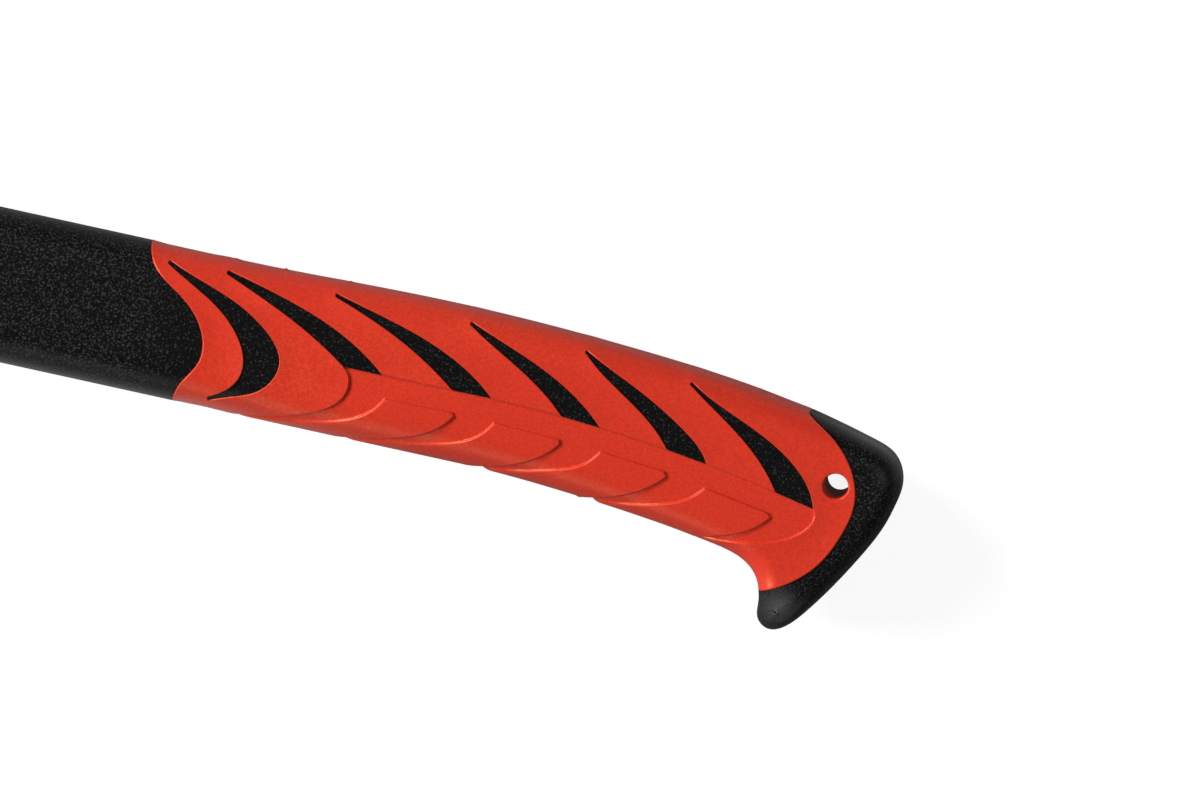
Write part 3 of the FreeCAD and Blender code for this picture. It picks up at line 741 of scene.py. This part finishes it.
@dataclass
class Handle:
    """The moulded handle: black jacket, orange grip and their shared seat."""

    shape: HandleShape = field(default_factory=HandleShape)
    drawing: GripDrawing = field(default_factory=GripDrawing)
    grip_proud: float = 0.45
    grip_skin: float = 2.3
    seat_squareness: float = 2.0
    panel_recess: float = 0.8
    step_round: float = 0.35
    scale_round: float = 0.55
    step_drop: float = 0.72
    flash: float = 1.0
    flash_grain: float = 0.7
    hollow: float = 0.30
    hollow_width: float = 5.0
    rim_rows: int = 5
    row_step: float = 2.0
    row_clearance: float = 1.2
    faces_up: float = 0.9999
    hole: float = 7.0
    lining_wall: float = 1.7
    rim_round: float = 0.38
    window_round: float = 0.20
    hole_round: float = 0.5
    foot_round: float = 0.14
    reach: float = 30.0
    overrun: float = 1.0
    grip_from: float = -215.0

    def build(self) -> list[bpy.types.Object]:
        """Model and dress the handle.

        Returns:
            The black jacket and the orange grip.
        """
        moulded = Surface.of(self.shape, self.shape.half_thickness)
        return [dressed(self.jacket().finish(BlackNylon().paint(), surface=moulded),
                        "handle_jacket"),
                dressed(self.grip().finish(OrangeElastomer().paint()), "grip_overmould")]

    def seat(self) -> Solid:
        """The space that the overmould fills, windows left out.

        Returns:
            The body to take out of the jacket.
        """
        shape, skin = self.shape, self.grip_skin
        region = prism("region", self.drawing.region_loop(), -self.reach, self.reach)
        hollow = shape.plate("hollow", -skin, shape.half_thickness - skin, -skin - self.seat_squareness)
        past = self.reach + self.overrun
        openings = [prism("opening", loop, -past, past) for loop in self.drawing.window_loops()]
        return region.carve(hollow, *openings)

    def jacket(self) -> Solid:
        """The black jacket, with the grip's seat, the hanging hole and the core's room taken out.

        Returns:
            The closed body.
        """
        seat = self.seat()
        lined = round_bar("lining", self.hole + 2 * self.lining_wall, -self.reach, self.reach)
        core = Solid.of_node("core", "glass_core")
        return self.shape.plate("black_jacket", 0.0, self.shape.half_thickness, 0.0).carve(seat, lined, core)

    def grip(self) -> Solid:
        """The overmould: a shell over the grip with rounded rims, sunk panel and raised scales.

        Returns:
            The closed shell.
        """
        drawing, shape = self.drawing, self.shape
        surface = Surface.of(shape, shape.half_thickness + self.grip_proud, self.grip_from)
        region, panel = polygon(drawing.region_loop()), polygon(drawing.panel_loop())
        openings = [polygon(loop) for loop in drawing.window_loops()]
        scales = [polygon(loop) for loop in drawing.scale_loops()]
        bore = self.hole / 2
        shares = np.linspace(0, 1, self.rim_rows)
        foot = [-self.foot_round, -self.foot_round / 2]
        lines = [(row, False) for row in surface.rows(shape.round_steps)]
        lines += [(shifted(region, -width), True) for width in self.rim_round * shares]
        lines += [(shifted(opening, width), True)
                  for opening in openings for width in self.window_round * shares]
        lines += [(shifted(panel, width), True) for width in [*foot, *(self.step_round * shares)]]
        lines += [(shifted(scale, -width), True)
                  for scale in scales for width in [*foot, *(self.scale_round * shares)]]
        lines += [(ring(bore + width), True) for width in [*(self.hole_round * shares), self.lining_wall]]
        places, corners = woven(lines, self.between(surface, [region, panel, *openings, *scales]))
        middles = places[corners].mean(axis=1)
        kept = inside(middles, region) & inside(middles, surface.spots)
        for hole in [ring(bore), *openings]:
            kept &= ~inside(middles, hole)
        depths = self.depths(places, region, openings, panel, scales)
        return self.shell(surface, places, corners[kept], depths)

    def shell(self, surface: Surface, places: np.ndarray, corners: np.ndarray, depths: np.ndarray) -> Solid:
        """Pull a woven skin up from the seat and close it at its rims and in the middle plane.

        Args:
            surface: the highest surface of the grip.
            places: the places of the weave, in plan.
            corners: the three places of each triangle.
            depths: how far the skin lies under the surface at each place.
        Returns:
            The closed shell.
        """
        skin, normals, inset = surface.at(places)
        outer, inner = skin - normals * depths[:, None], skin - normals * self.grip_skin
        off_bore = np.linalg.norm(places, axis=1) - self.hole / 2
        mesh = bmesh.new()
        mark = mesh.verts.layers.int.new("place")
        verts = {}
        for index in np.unique(corners):
            verts[index] = mesh.verts.new(inner[index])
            verts[index][mark] = int(index)
        for corner in corners:
            mesh.faces.new([verts[index] for index in corner])
        under = list(mesh.faces)
        pulled = bmesh.ops.extrude_face_region(mesh, geom=under, use_keep_orig=True)["geom"]
        for vert in corners_in(pulled):
            vert.co = outer[vert[mark]]
        # at the outline and in the hanging hole the shell stays open, down to the middle plane
        at_edge = {vert for vert in mesh.verts if inset[vert[mark]] < ON_LINE}
        at_bore = {vert for vert in mesh.verts if off_bore[vert[mark]] < ON_LINE}
        at_lining = {vert for vert in mesh.verts if off_bore[vert[mark]] < self.lining_wall + ON_LINE}
        sides = [face for face in mesh.faces if len(face.verts) == 4]
        unwanted = [face for face in sides if any(rim.issuperset(face.verts) for rim in (at_edge, at_bore))]
        unwanted += [face for face in under if at_lining.issuperset(face.verts)]
        bmesh.ops.delete(mesh, geom=unwanted, context="FACES")
        rims = [edge for edge in mesh.edges if len(edge.link_faces) == 1]
        for vert in corners_in(bmesh.ops.extrude_edge_only(mesh, edges=rims)["geom"]):
            vert.co.z = 0
            if inset[vert[mark]] < ON_LINE:
                outward = Vector((*normals[vert[mark]][:2], 0))
                vert.co += outward * self.flash * max(0.0, noise.noise(vert.co * self.flash_grain))
        mirrored(mesh)
        bmesh.ops.recalc_face_normals(mesh, faces=mesh.faces)
        return Solid("orange_grip", mesh)

    def between(self, surface: Surface, loops: Sequence[np.ndarray]) -> np.ndarray:
        """Places in rows over the flat of the grip, kept clear of its loops and of the hole.

        Args:
            surface: the highest surface of the grip.
            loops: the loops to keep clear of.
        Returns:
            The places.
        """
        low, high = surface.spots.min(axis=0), surface.spots.max(axis=0)
        grid = np.meshgrid(*[np.arange(low[axis], high[axis], self.row_step) for axis in (0, 1)])
        places = np.column_stack([rows.ravel() for rows in grid])
        places = places[inside(places, surface.spots) & (np.linalg.norm(places, axis=1) > self.hole)]
        places = places[surface.at(places)[1][:, 2] > self.faces_up]
        for loop in loops:
            places = places[np.abs(signed(places, loop)) > self.row_clearance]
        return places

    def depths(self, places: np.ndarray, region: np.ndarray, openings: Sequence[np.ndarray],
               panel: np.ndarray, scales: Sequence[np.ndarray]) -> np.ndarray:
        """How far the moulded skin lies under its highest surface.

        Args:
            places: where, in plan.
            region: the loop of all that is overmoulded.
            openings: the loops of the windows.
            panel: the loop of the finger panel.
            scales: the loops of the raised scales.
        Returns:
            The depth at each place.
        """
        out_of_panel = signed(places, panel)
        onto_scale = np.maximum.reduce([-signed(places, scale) for scale in scales])
        raised = np.maximum(out_of_panel, onto_scale)
        border = -signed(places, region)
        window = np.minimum.reduce([signed(places, opening) for opening in openings])
        lip = np.clip(np.minimum.reduce((border, window, out_of_panel)) / self.hollow_width, 0, 1)
        foot = np.clip(-raised / self.foot_round, 0, 1)
        sunk = self.step_drop + (self.panel_recess - self.step_drop) * foot
        edge = np.minimum(rounded(np.maximum(out_of_panel, 0), self.step_round, self.step_drop),
                          rounded(np.maximum(onto_scale, 0), self.scale_round, self.step_drop))
        return self.hollow * (1 - (1 - lip) ** 2) + np.maximum.reduce((
            rounded(border, self.rim_round, self.rim_round),
            rounded(window, self.window_round, self.window_round),
            rounded(np.linalg.norm(places, axis=1) - self.hole / 2, self.hole_round, self.hole_round),
            np.where(raised >= 0, edge, sunk)))


# ---------------------------------------------------------------- finishes

def reckoner(operation: str, swapped: bool = False) -> Callable[..., "Signal"]:
    """Write a method of Signal that adds one Math node.

    Args:
        operation: what the node does.
        swapped: True where the signal is the second value.
    Returns:
        The method.
    """
    def method(signal: "Signal", other: Any = 0.0) -> "Signal":
        """Reckon with a signal and another signal or number."""
        values = {0: other, 1: signal} if swapped else {0: signal, 1: other}
        node = signal.bench.node("ShaderNodeMath", values, operation=operation)
        return Signal(signal.bench, node.outputs[0])
    return method


class Signal:
    """A socket that can be reckoned with: an expression on signals adds its Math nodes."""

    def __init__(self, bench: "Bench", socket: bpy.types.NodeSocket) -> None:
        """Wrap an output socket."""
        self.bench = bench
        self.socket = socket

    __add__ = __radd__ = reckoner("ADD")
    __mul__ = __rmul__ = reckoner("MULTIPLY")
    __sub__ = reckoner("SUBTRACT")
    __rsub__ = reckoner("SUBTRACT", swapped=True)
    __truediv__ = reckoner("DIVIDE")
    most = reckoner("MAXIMUM")
    least = reckoner("MINIMUM")
    root = reckoner("SQRT")

    def ramp(self, low: float, high: float, first: float = 0.0, last: float = 1.0) -> "Signal":
        """A soft step: first below low, last above high."""
        node = self.bench.node("ShaderNodeMapRange", {0: self, 1: low, 2: high, 3: first, 4: last},
                               interpolation_type="SMOOTHSTEP")
        return Signal(self.bench, node.outputs[0])


class Bench:
    """The node tree of one material and what is built on it."""

    def __init__(self, name: str) -> None:
        """Start a material with its shader and object coordinates.

        Args:
            name: the material's name.
        """
        self.material = bpy.data.materials.new(name)
        self.material.use_nodes = True
        self.tree = self.material.node_tree
        self.shader = self.tree.nodes["Principled BSDF"]
        self.place = self.node("ShaderNodeTexCoord").outputs["Object"]

    def node(self, kind: str, inputs: Optional[dict[Any, Any]] = None, **settings: Any) -> bpy.types.Node:
        """Add a node.

        Args:
            kind: the node's type.
            inputs: values or links of its sockets, by name or number.
            settings: its own settings, which are set first.
        Returns:
            The node.
        """
        node = self.tree.nodes.new(kind)
        for key, value in settings.items():
            setattr(node, key, value)
        for key, value in (inputs or {}).items():
            self.feed(node.inputs[key], value)
        return node

    def feed(self, socket: bpy.types.NodeSocket, value: Any) -> None:
        """Link a signal or socket to a socket, or set its value.

        Args:
            socket: the input socket.
            value: a signal, an output socket, a number or a row of numbers.
        """
        if isinstance(value, Signal):
            value = value.socket
        if isinstance(value, bpy.types.NodeSocket):
            self.tree.links.new(value, socket)
        elif socket.type == "RGBA":
            socket.default_value = (*value, 1.0)
        else:
            socket.default_value = value

    def set(self, **values: Any) -> None:
        """Set or feed sockets of the shader, named with underscores."""
        for name, value in values.items():
            self.feed(self.shader.inputs[name.replace("_", " ").title().replace("Ior", "IOR")], value)

    def axis(self, which: Axis) -> Signal:
        """One coordinate of the place on the piece, in millimetres."""
        return Signal(self, self.node("ShaderNodeSeparateXYZ", {0: self.place}).outputs[which.value]) / MM

    def away(self, centre: Place) -> Signal:
        """Distance in plan from a place, in millimetres."""
        along, across = (self.axis(axis) - at for axis, at in zip(Axis, centre))
        return (along * along + across * across).root()

    def moved(self, scale: Spot = (1, 1, 1), shift: Spot = (0, 0, 0)) -> bpy.types.NodeSocket:
        """The place on the piece, scaled and shifted."""
        return self.node("ShaderNodeMapping", {
            "Vector": self.place, "Scale": scale, "Location": shift}).outputs[0]

    def noise(self, size_mm: float, detail: float = 2.0, roughness: float = 0.5, over: Any = None) -> Signal:
        """Soft noise whose features are about as large as given."""
        return Signal(self, self.node("ShaderNodeTexNoise", {
            "Vector": over or self.place, "Scale": 1 / (size_mm * MM), "Detail": detail,
            "Roughness": roughness}).outputs[0])

    def cells(self, size_mm: float, over: Any = None) -> Signal:
        """Distance to scattered points that stand about as far apart as given."""
        return Signal(self, self.node("ShaderNodeTexVoronoi", {
            "Vector": over or self.place, "Scale": 1 / (size_mm * MM)}).outputs[0])

    def blend(self, share: Any, first: Any, second: Any) -> bpy.types.NodeSocket:
        """Mix two colours."""
        return self.node("ShaderNodeMix", {0: share, 6: first, 7: second}, data_type="RGBA").outputs[2]

    def relief(self, height: Any, depth_mm: float) -> None:
        """Bump the surface by a height from 0 to 1 that is worth a depth."""
        self.set(normal=self.node("ShaderNodeBump", {
            "Height": height, "Distance": depth_mm * MM, "Strength": 1.0}).outputs[0])


@dataclass(frozen=True)
class BlackNylon:
    """Glass-filled nylon from a spark-eroded mould: dark and coarsely pitted, with small pale specks painted
    in for the texture's glints, and a painted sheen on the toe.
    """

    colour: Colour = (0.0005, 0.0005, 0.0005)
    # colour of the painted glints: pale specks that stand for light caught by the pitted texture
    painted_glint: Colour = (0.036, 0.034, 0.035)
    gloss: float = 0.22
    grain: float = 0.62
    depth: float = 0.035
    lands: Place = (-200.0, -186.0)
    lands_end: Place = (-6.0, 6.0)
    lands_share: float = 0.9
    lean_from: float = 3.0
    lean_over: float = 18.0
    toe_rise: Place = (-40.0, -24.0)
    toe_fall: float = 7.6
    toe_centre: Place = (-9.0, -36.5)
    toe_spread: float = 8.5
    # strength of the painted sheen on the toe
    toe_sheen: float = 1.5

    def paint(self) -> bpy.types.Material:
        """Build the material.

        Returns:
            The material.
        """
        bench = Bench("black_nylon")
        along = bench.axis(Axis.ALONG)
        lands = along.ramp(*self.lands) * along.ramp(*self.lands_end, 1.0, 0.0)
        fine = bench.noise(self.grain, 2.0, 0.6)
        pits = bench.cells(self.grain * 0.8)
        cloud = bench.noise(14.0, 3.0)
        # painted glints: pale specks in the colour stand for light caught by the pitted texture, fewer on the
        # window lands
        painted_glints = fine.ramp(0.50, 0.68) * (1 - lands) + fine.ramp(0.57, 0.70) * lands * self.lands_share
        lean = ((self.lean_from - along) / self.lean_over).most(0.0)
        fall = bench.axis(Axis.ACROSS).ramp(*self.toe_rise, 1.0, 0.0) * self.toe_fall * lean * lean
        # painted sheen: a paler patch round the toe's centre stands for the soft highlight on its domed face
        painted_toe_sheen = bench.away(self.toe_centre).ramp(0.0, self.toe_spread, self.toe_sheen, 0.0) * (0.2 + fine)
        bench.set(base_color=bench.blend((painted_glints + painted_toe_sheen) * (0.8 + 0.4 * cloud), self.colour, self.painted_glint),
                  roughness=0.34 + 0.12 * fine, specular_ior_level=self.gloss)
        bench.relief((fine * 0.7 + pits * 0.5) * self.depth - fall, 1.0)
        return bench.material


@dataclass(frozen=True)
class OrangeElastomer:
    """Soft thermoplastic rubber: warm orange-red, matte, with a very fine even grain."""

    colour: Colour = (0.65, 0.033, 0.016)
    paler: Colour = (0.72, 0.058, 0.020)
    dust: Colour = (0.80, 0.22, 0.13)
    gloss: float = 0.7
    gloss_tint: Colour = (1.0, 0.55, 0.30)
    # how dark the fine grain's darker tone is
    grain_dark: float = 0.78
    dustiness: float = 0.25
    grain: float = 0.70
    depth: float = 0.02

    def paint(self) -> bpy.types.Material:
        """Build the material.

        Returns:
            The material.
        """
        bench = Bench("orange_elastomer")
        fine = bench.noise(self.grain, 2.0, 0.55)
        flow = bench.noise(30.0, 3.0, 0.55, bench.moved(scale=(0.5, 1.0, 1.0)))
        dust = bench.noise(0.6, 1.0, 0.5, bench.moved(shift=(0.2, 0.5, 0.1))).ramp(0.72, 0.8)
        shade = bench.blend(flow.ramp(0.45, 0.8) * 0.5, self.colour, self.paler)
        # the fine grain's darker tone, which falls where its noise runs high
        darker = tuple(value * self.grain_dark for value in self.colour)
        grainy = bench.blend(fine.ramp(0.35, 0.65) * 0.80, shade, darker)
        bench.set(base_color=bench.blend(dust * self.dustiness, grainy, self.dust),
                  roughness=0.30 + 0.14 * fine, specular_ior_level=self.gloss, specular_tint=self.gloss_tint)
        bench.relief(fine, self.depth)
        return bench.material


@dataclass(frozen=True)
class BlackRubber:
    """Overstrike collar: softer and greyer than the nylon, with scuffs along it."""

    colour: Colour = (0.007, 0.007, 0.0075)
    scuff: Colour = (0.050, 0.049, 0.048)
    gloss: float = 0.25
    depth: float = 0.05

    def paint(self) -> bpy.types.Material:
        """Build the material.

        Returns:
            The material.
        """
        bench = Bench("black_rubber")
        fine = bench.noise(0.5, 2.0, 0.6)
        scuffs = bench.noise(5.0, 4.0, 0.65, bench.moved(scale=(0.25, 1.6, 1.6))).ramp(0.54, 0.70)
        bench.set(base_color=bench.blend(scuffs * 0.55 + fine.ramp(0.5, 0.7) * 0.15, self.colour, self.scuff),
                  roughness=0.56 + 0.14 * fine, specular_ior_level=self.gloss)
        bench.relief(fine * 0.7 - scuffs * 0.3, self.depth)
        return bench.material


@dataclass(frozen=True)
class ForgedSteel:
    """The head: red enamel over forged scale, and bare ground steel at the edge and the pick's tip."""

    enamel: Colour = (0.37, 0.012, 0.009)
    enamel_dark: Colour = (0.29, 0.009, 0.008)
    steel: Colour = (0.50, 0.51, 0.52)
    steel_dark: Colour = (0.30, 0.305, 0.31)
    scale: Colour = (0.035, 0.033, 0.032)
    coat_haze: float = 0.30
    gloss: float = 0.30
    depth: float = 0.10
    edge_centre: Place = (-740.3, -28.25)
    blade: Place = (60.0, 62.0)
    bevel: Place = (96.6, 97.4)
    near_bevel: Place = (90.0, 98.0)
    pick_tip: Place = (138.0, 139.2)
    near_tip: Place = (129.0, 139.0)

    def paint(self) -> bpy.types.Material:
        """Build the material.

        Returns:
            The material.
        """
        bench = Bench("forged_steel")
        wander = (bench.noise(9.0, 3.0, 0.6) - 0.5) * 3.0
        reach, across = bench.away(self.edge_centre), bench.axis(Axis.ACROSS)
        blade_side = (self.edge_centre[1] - across).ramp(*self.blade)
        bevel = (reach + wander * 0.25).ramp(*self.bevel) * blade_side
        bare = bevel.most((across + wander).ramp(*self.pick_tip)).least(1.0)
        near_bevel = (reach + wander).ramp(*self.near_bevel) * blade_side
        near_tip = (across + wander).ramp(*self.near_tip)
        worn = bench.noise(3.2, 4.0, 0.7).ramp(0.685, 0.70) * near_bevel.most(near_tip).most(0.10)
        grind = bench.noise(0.35, 3.0, 0.7, bench.moved(scale=(1.0, 0.05, 0.05)))
        grind_tip = bench.noise(0.35, 3.0, 0.7, bench.moved(scale=(0.05, 1.0, 0.05)))
        lines = grind * bevel + grind_tip * (1 - bevel)
        hammered = bench.noise(9.0, 2.0, 0.5)
        cloud = bench.noise(30.0, 3.0, 0.55)
        peel = bench.noise(0.9, 1.0, 0.4)
        coat = bench.blend(0.75 * cloud.ramp(0.35, 0.7) + 0.25 * hammered, self.enamel_dark, self.enamel)
        ground = bench.blend(lines.ramp(0.3, 0.7), self.steel_dark, self.steel)
        bench.set(base_color=bench.blend(bare, bench.blend(worn, coat, self.scale), ground), metallic=bare,
                  roughness=(0.56 + 0.06 * peel + 0.2 * worn) * (1 - bare) + (0.58 + 0.16 * lines) * bare,
                  coat_weight=(1 - bare) * (1 - worn) * 0.12, coat_roughness=self.coat_haze,
                  specular_ior_level=self.gloss)
        bench.relief((hammered + peel * 0.12 - worn * 0.35) * (1 - bare) + lines * bare * 0.15, self.depth)
        return bench.material


@dataclass(frozen=True)
class EyeEpoxy:
    """Resin that sets the handle in the eye: black, slightly glossy, with small bubbles."""

    colour: Colour = (0.020, 0.020, 0.021)
    cloudy: Colour = (0.048, 0.047, 0.046)
    depth: float = 0.12

    def paint(self) -> bpy.types.Material:
        """Build the material.

        Returns:
            The material.
        """
        bench = Bench("epoxy_fill")
        cloud = bench.noise(6.0, 3.0)
        bubbles = bench.cells(2.4).ramp(0.10, 0.22, 1.0, 0.0)
        bench.set(base_color=bench.blend(cloud.ramp(0.3, 0.7), self.colour, self.cloudy),
                  roughness=0.24 + 0.2 * bubbles)
        bench.relief(cloud * 0.5 - bubbles * 0.5, self.depth)
        return bench.material


@dataclass(frozen=True)
class GlassFibre:
    """The core bar's cut end: pale yellow-green resin full of glass strands."""

    colour: Colour = (0.52, 0.43, 0.16)
    strand: Colour = (0.78, 0.72, 0.46)
    drawn_out: Spot = (0.03, 1.0, 1.0)
    depth: float = 0.06

    def paint(self) -> bpy.types.Material:
        """Build the material.

        Returns:
            The material.
        """
        bench = Bench("fibreglass")
        strands = bench.noise(0.5, 2.0, 0.6, bench.moved(self.drawn_out))
        bundles = bench.cells(1.7, bench.moved(self.drawn_out))
        bench.set(base_color=bench.blend(strands.ramp(0.35, 0.7) * 0.7, self.colour, self.strand),
                  roughness=0.5 + 0.15 * bundles)
        bench.relief(strands * 0.6 + bundles * 0.3, self.depth)
        return bench.material


# ---------------------------------------------------------------- the head's end

@dataclass
class HeadEnd:
    """The forged head and what holds it on: pieces that keep their solids' forms, shaded smoothly."""

    sharp: float = 32.0

    def build(self) -> list[bpy.types.Object]:
        """Make the pieces from their solids and dress them.

        Returns:
            The head, the resin in its eye, the core's bar and the collar.
        """
        return [dressed(Solid.of_node(name, node).finish(look.paint(), self.sharp), node)
                for node, name, look, slot in (
                    ("axe_head", "forged_head", ForgedSteel(), "forged_steel"),
                    ("eye_resin", "eye_fill", EyeEpoxy(), "epoxy_fill"),
                    ("glass_core", "core_bar", GlassFibre(), "fibreglass"),
                    ("overstrike_collar", "collar", BlackRubber(), "black_rubber"))]


# ---------------------------------------------------------------- studio

@dataclass
class Studio:
    """Pale floor, soft lamps and a long-lens camera square to the grip."""

    aim: Spot = (-0.0700, 0.0081, 0.0)
    right: Spot = (0.9767, 0.2147, 0.0)
    lean_right: float = 3.8
    lean_up: float = 5.4
    view_width: float = 0.336
    lens: float = 500.0
    sensor: float = 36.0
    seen_from: float = 0.1
    seen_to: float = 50.0
    floor_level: float = -0.0204
    floor_half: float = 4.0
    floor_paper: float = 0.30
    floor_shade: float = 0.20
    floor_seen: float = 0.89
    # painted glow: floor patches behind the pommel and ahead of the shaft that shine only in the grip's
    # reflections
    glow_behind: tuple[Place, Place] = ((-15.0, 15.0), (5.0, 40.0))
    glow_ahead: tuple[Place, Place] = ((-190.0, -110.0), (-40.0, -15.0))
    gloss_level: float = 0.05
    gloss_glow: float = 0.5
    world_level: float = 0.08

    def __post_init__(self) -> None:
        """Work out the directions of the view."""
        across = Vector(self.right).normalized()
        up = Vector((0, 0, 1)).cross(across)
        toward = across * math.tan(math.radians(self.lean_right)) + up * math.tan(math.radians(self.lean_up))
        self.toward = (toward + Vector((0, 0, 1))).normalized()
        self.across = (across - self.toward * across.dot(self.toward)).normalized()
        self.up = self.toward.cross(self.across)

    def camera(self) -> None:
        """Set up the camera."""
        lens = bpy.data.cameras.new("camera")
        lens.lens = self.lens
        lens.sensor_width = self.sensor
        lens.clip_start, lens.clip_end = self.seen_from, self.seen_to
        away = self.view_width / self.sensor * self.lens
        turn = Matrix((self.across, self.up, self.toward)).transposed()
        eye = added("camera", lens)
        eye.matrix_world = Matrix.Translation(Vector(self.aim) + self.toward * away) @ turn.to_4x4()
        bpy.context.scene.camera = eye

    def lamp(self, name: str, turn: float, tilt: float, away: float, wide: float, high: float,
             level: float) -> None:
        """Hang a soft lamp that faces the grip.

        Args:
            name: the lamp's name.
            turn: its direction round the view, in degrees from the right, turning up.
            tilt: its angle off the line of view, in degrees.
            away: its distance from the grip, in metres.
            wide: its width.
            high: its height.
            level: how brightly it lights a pale surface that faces it, where 1 is full.
        """
        light = bpy.data.lights.new(name, "AREA")
        light.shape = "RECTANGLE"
        light.size, light.size_y = wide, high
        light.energy = level * (math.pi * away) ** 2
        round_view, off_view = math.radians(turn), math.radians(tilt)
        sideways = self.across * math.cos(round_view) + self.up * math.sin(round_view)
        way = sideways * math.sin(off_view) + self.toward * math.cos(off_view)
        hung = added(name, light)
        hung.location = Vector(self.aim) + way * away
        hung.rotation_euler = way.to_track_quat("Z", "Y").to_euler()

    def background(self) -> None:
        """Give the world a plain level, and white where the camera sees it."""
        world = bpy.data.worlds.new("studio")
        world.use_nodes = True
        bpy.context.scene.world = world
        tree = world.node_tree
        sky = tree.nodes["Background"]
        sky.inputs["Color"].default_value = (1.0, 1.0, 1.0, 1.0)
        rays = tree.nodes.new("ShaderNodeLightPath")
        level = tree.nodes.new("ShaderNodeMapRange")
        level.inputs["To Min"].default_value = self.world_level
        level.inputs["To Max"].default_value = 1.0
        tree.links.new(rays.outputs["Is Camera Ray"], level.inputs["Value"])
        tree.links.new(level.outputs[0], sky.inputs["Strength"])

    def floor(self) -> None:
        """Lay the pale floor, which keeps a faint shadow and glows where the grip's gloss mirrors it."""
        mesh = bmesh.new()
        bmesh.ops.create_grid(mesh, x_segments=1, y_segments=1, size=self.floor_half,
                              matrix=Matrix.Translation((self.aim[0], self.aim[1], self.floor_level)))
        ground = added("floor", bpy.data.meshes.new("floor"))
        mesh.to_mesh(ground.data)
        mesh.free()
        bench = Bench("floor_paper")
        bench.set(base_color=(self.floor_paper,) * 3, roughness=0.9, specular_ior_level=0.0)
        rays = bench.node("ShaderNodeLightPath")
        camera, gloss = (Signal(bench, rays.outputs[f"Is {ray} Ray"]) for ray in ("Camera", "Glossy"))
        along, across = bench.axis(Axis.ALONG), bench.axis(Axis.ACROSS)
        # painted glow: these patches shine only for reflected rays, to brighten the reflections along the
        # grip's edges
        glow_behind = along.ramp(*self.glow_behind[0]) * across.ramp(*self.glow_behind[1])
        glow_ahead = along.ramp(*self.glow_ahead[0], 1.0, 0.0) * across.ramp(*self.glow_ahead[1], 1.0, 0.0)
        in_gloss = self.gloss_level + (glow_behind + glow_ahead) * self.gloss_glow
        strength = gloss * in_gloss + camera * self.floor_seen
        bright = bench.node("ShaderNodeEmission", {"Color": (1.0, 1.0, 1.0), "Strength": strength})
        dim = bench.node("ShaderNodeBsdfDiffuse", {"Color": (self.floor_shade,) * 3})
        paper = bench.node("ShaderNodeAddShader", {0: bright.outputs[0], 1: dim.outputs[0]})
        mixed = bench.node("ShaderNodeMixShader",
                           {0: camera.most(gloss), 1: bench.shader.outputs[0], 2: paper.outputs[0]})
        output = next(node for node in bench.tree.nodes if node.type == "OUTPUT_MATERIAL")
        bench.feed(output.inputs["Surface"], mixed.outputs[0])
        ground.data.materials.append(bench.material)

    def build(self) -> None:
        """Set up everything that isn't the axe."""
        self.camera()
        self.background()
        self.floor()
        self.lamp("key", 176, 60, 2.4, 0.72, 0.72, 0.96)
        self.lamp("upper_left", 138, 60, 2.4, 0.6, 0.6, 0.73)
        self.lamp("low_strip", -97, 72, 1.2, 1.2, 0.45, 0.20)
        self.lamp("near", 0, 38, 0.6, 0.3, 0.3, 0.16)
        bpy.context.scene.view_settings.view_transform = "Standard"


def main() -> None:
    """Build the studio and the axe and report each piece."""
    LOG.addHandler(logging.StreamHandler())
    LOG.setLevel(logging.INFO)
    Studio().build()
    for assembly in (Handle(), HeadEnd()):
        for piece in assembly.build():
            LOG.info("%s: %d faces", piece.name, len(piece.data.polygons))


if __name__ == "__main__":
    main()
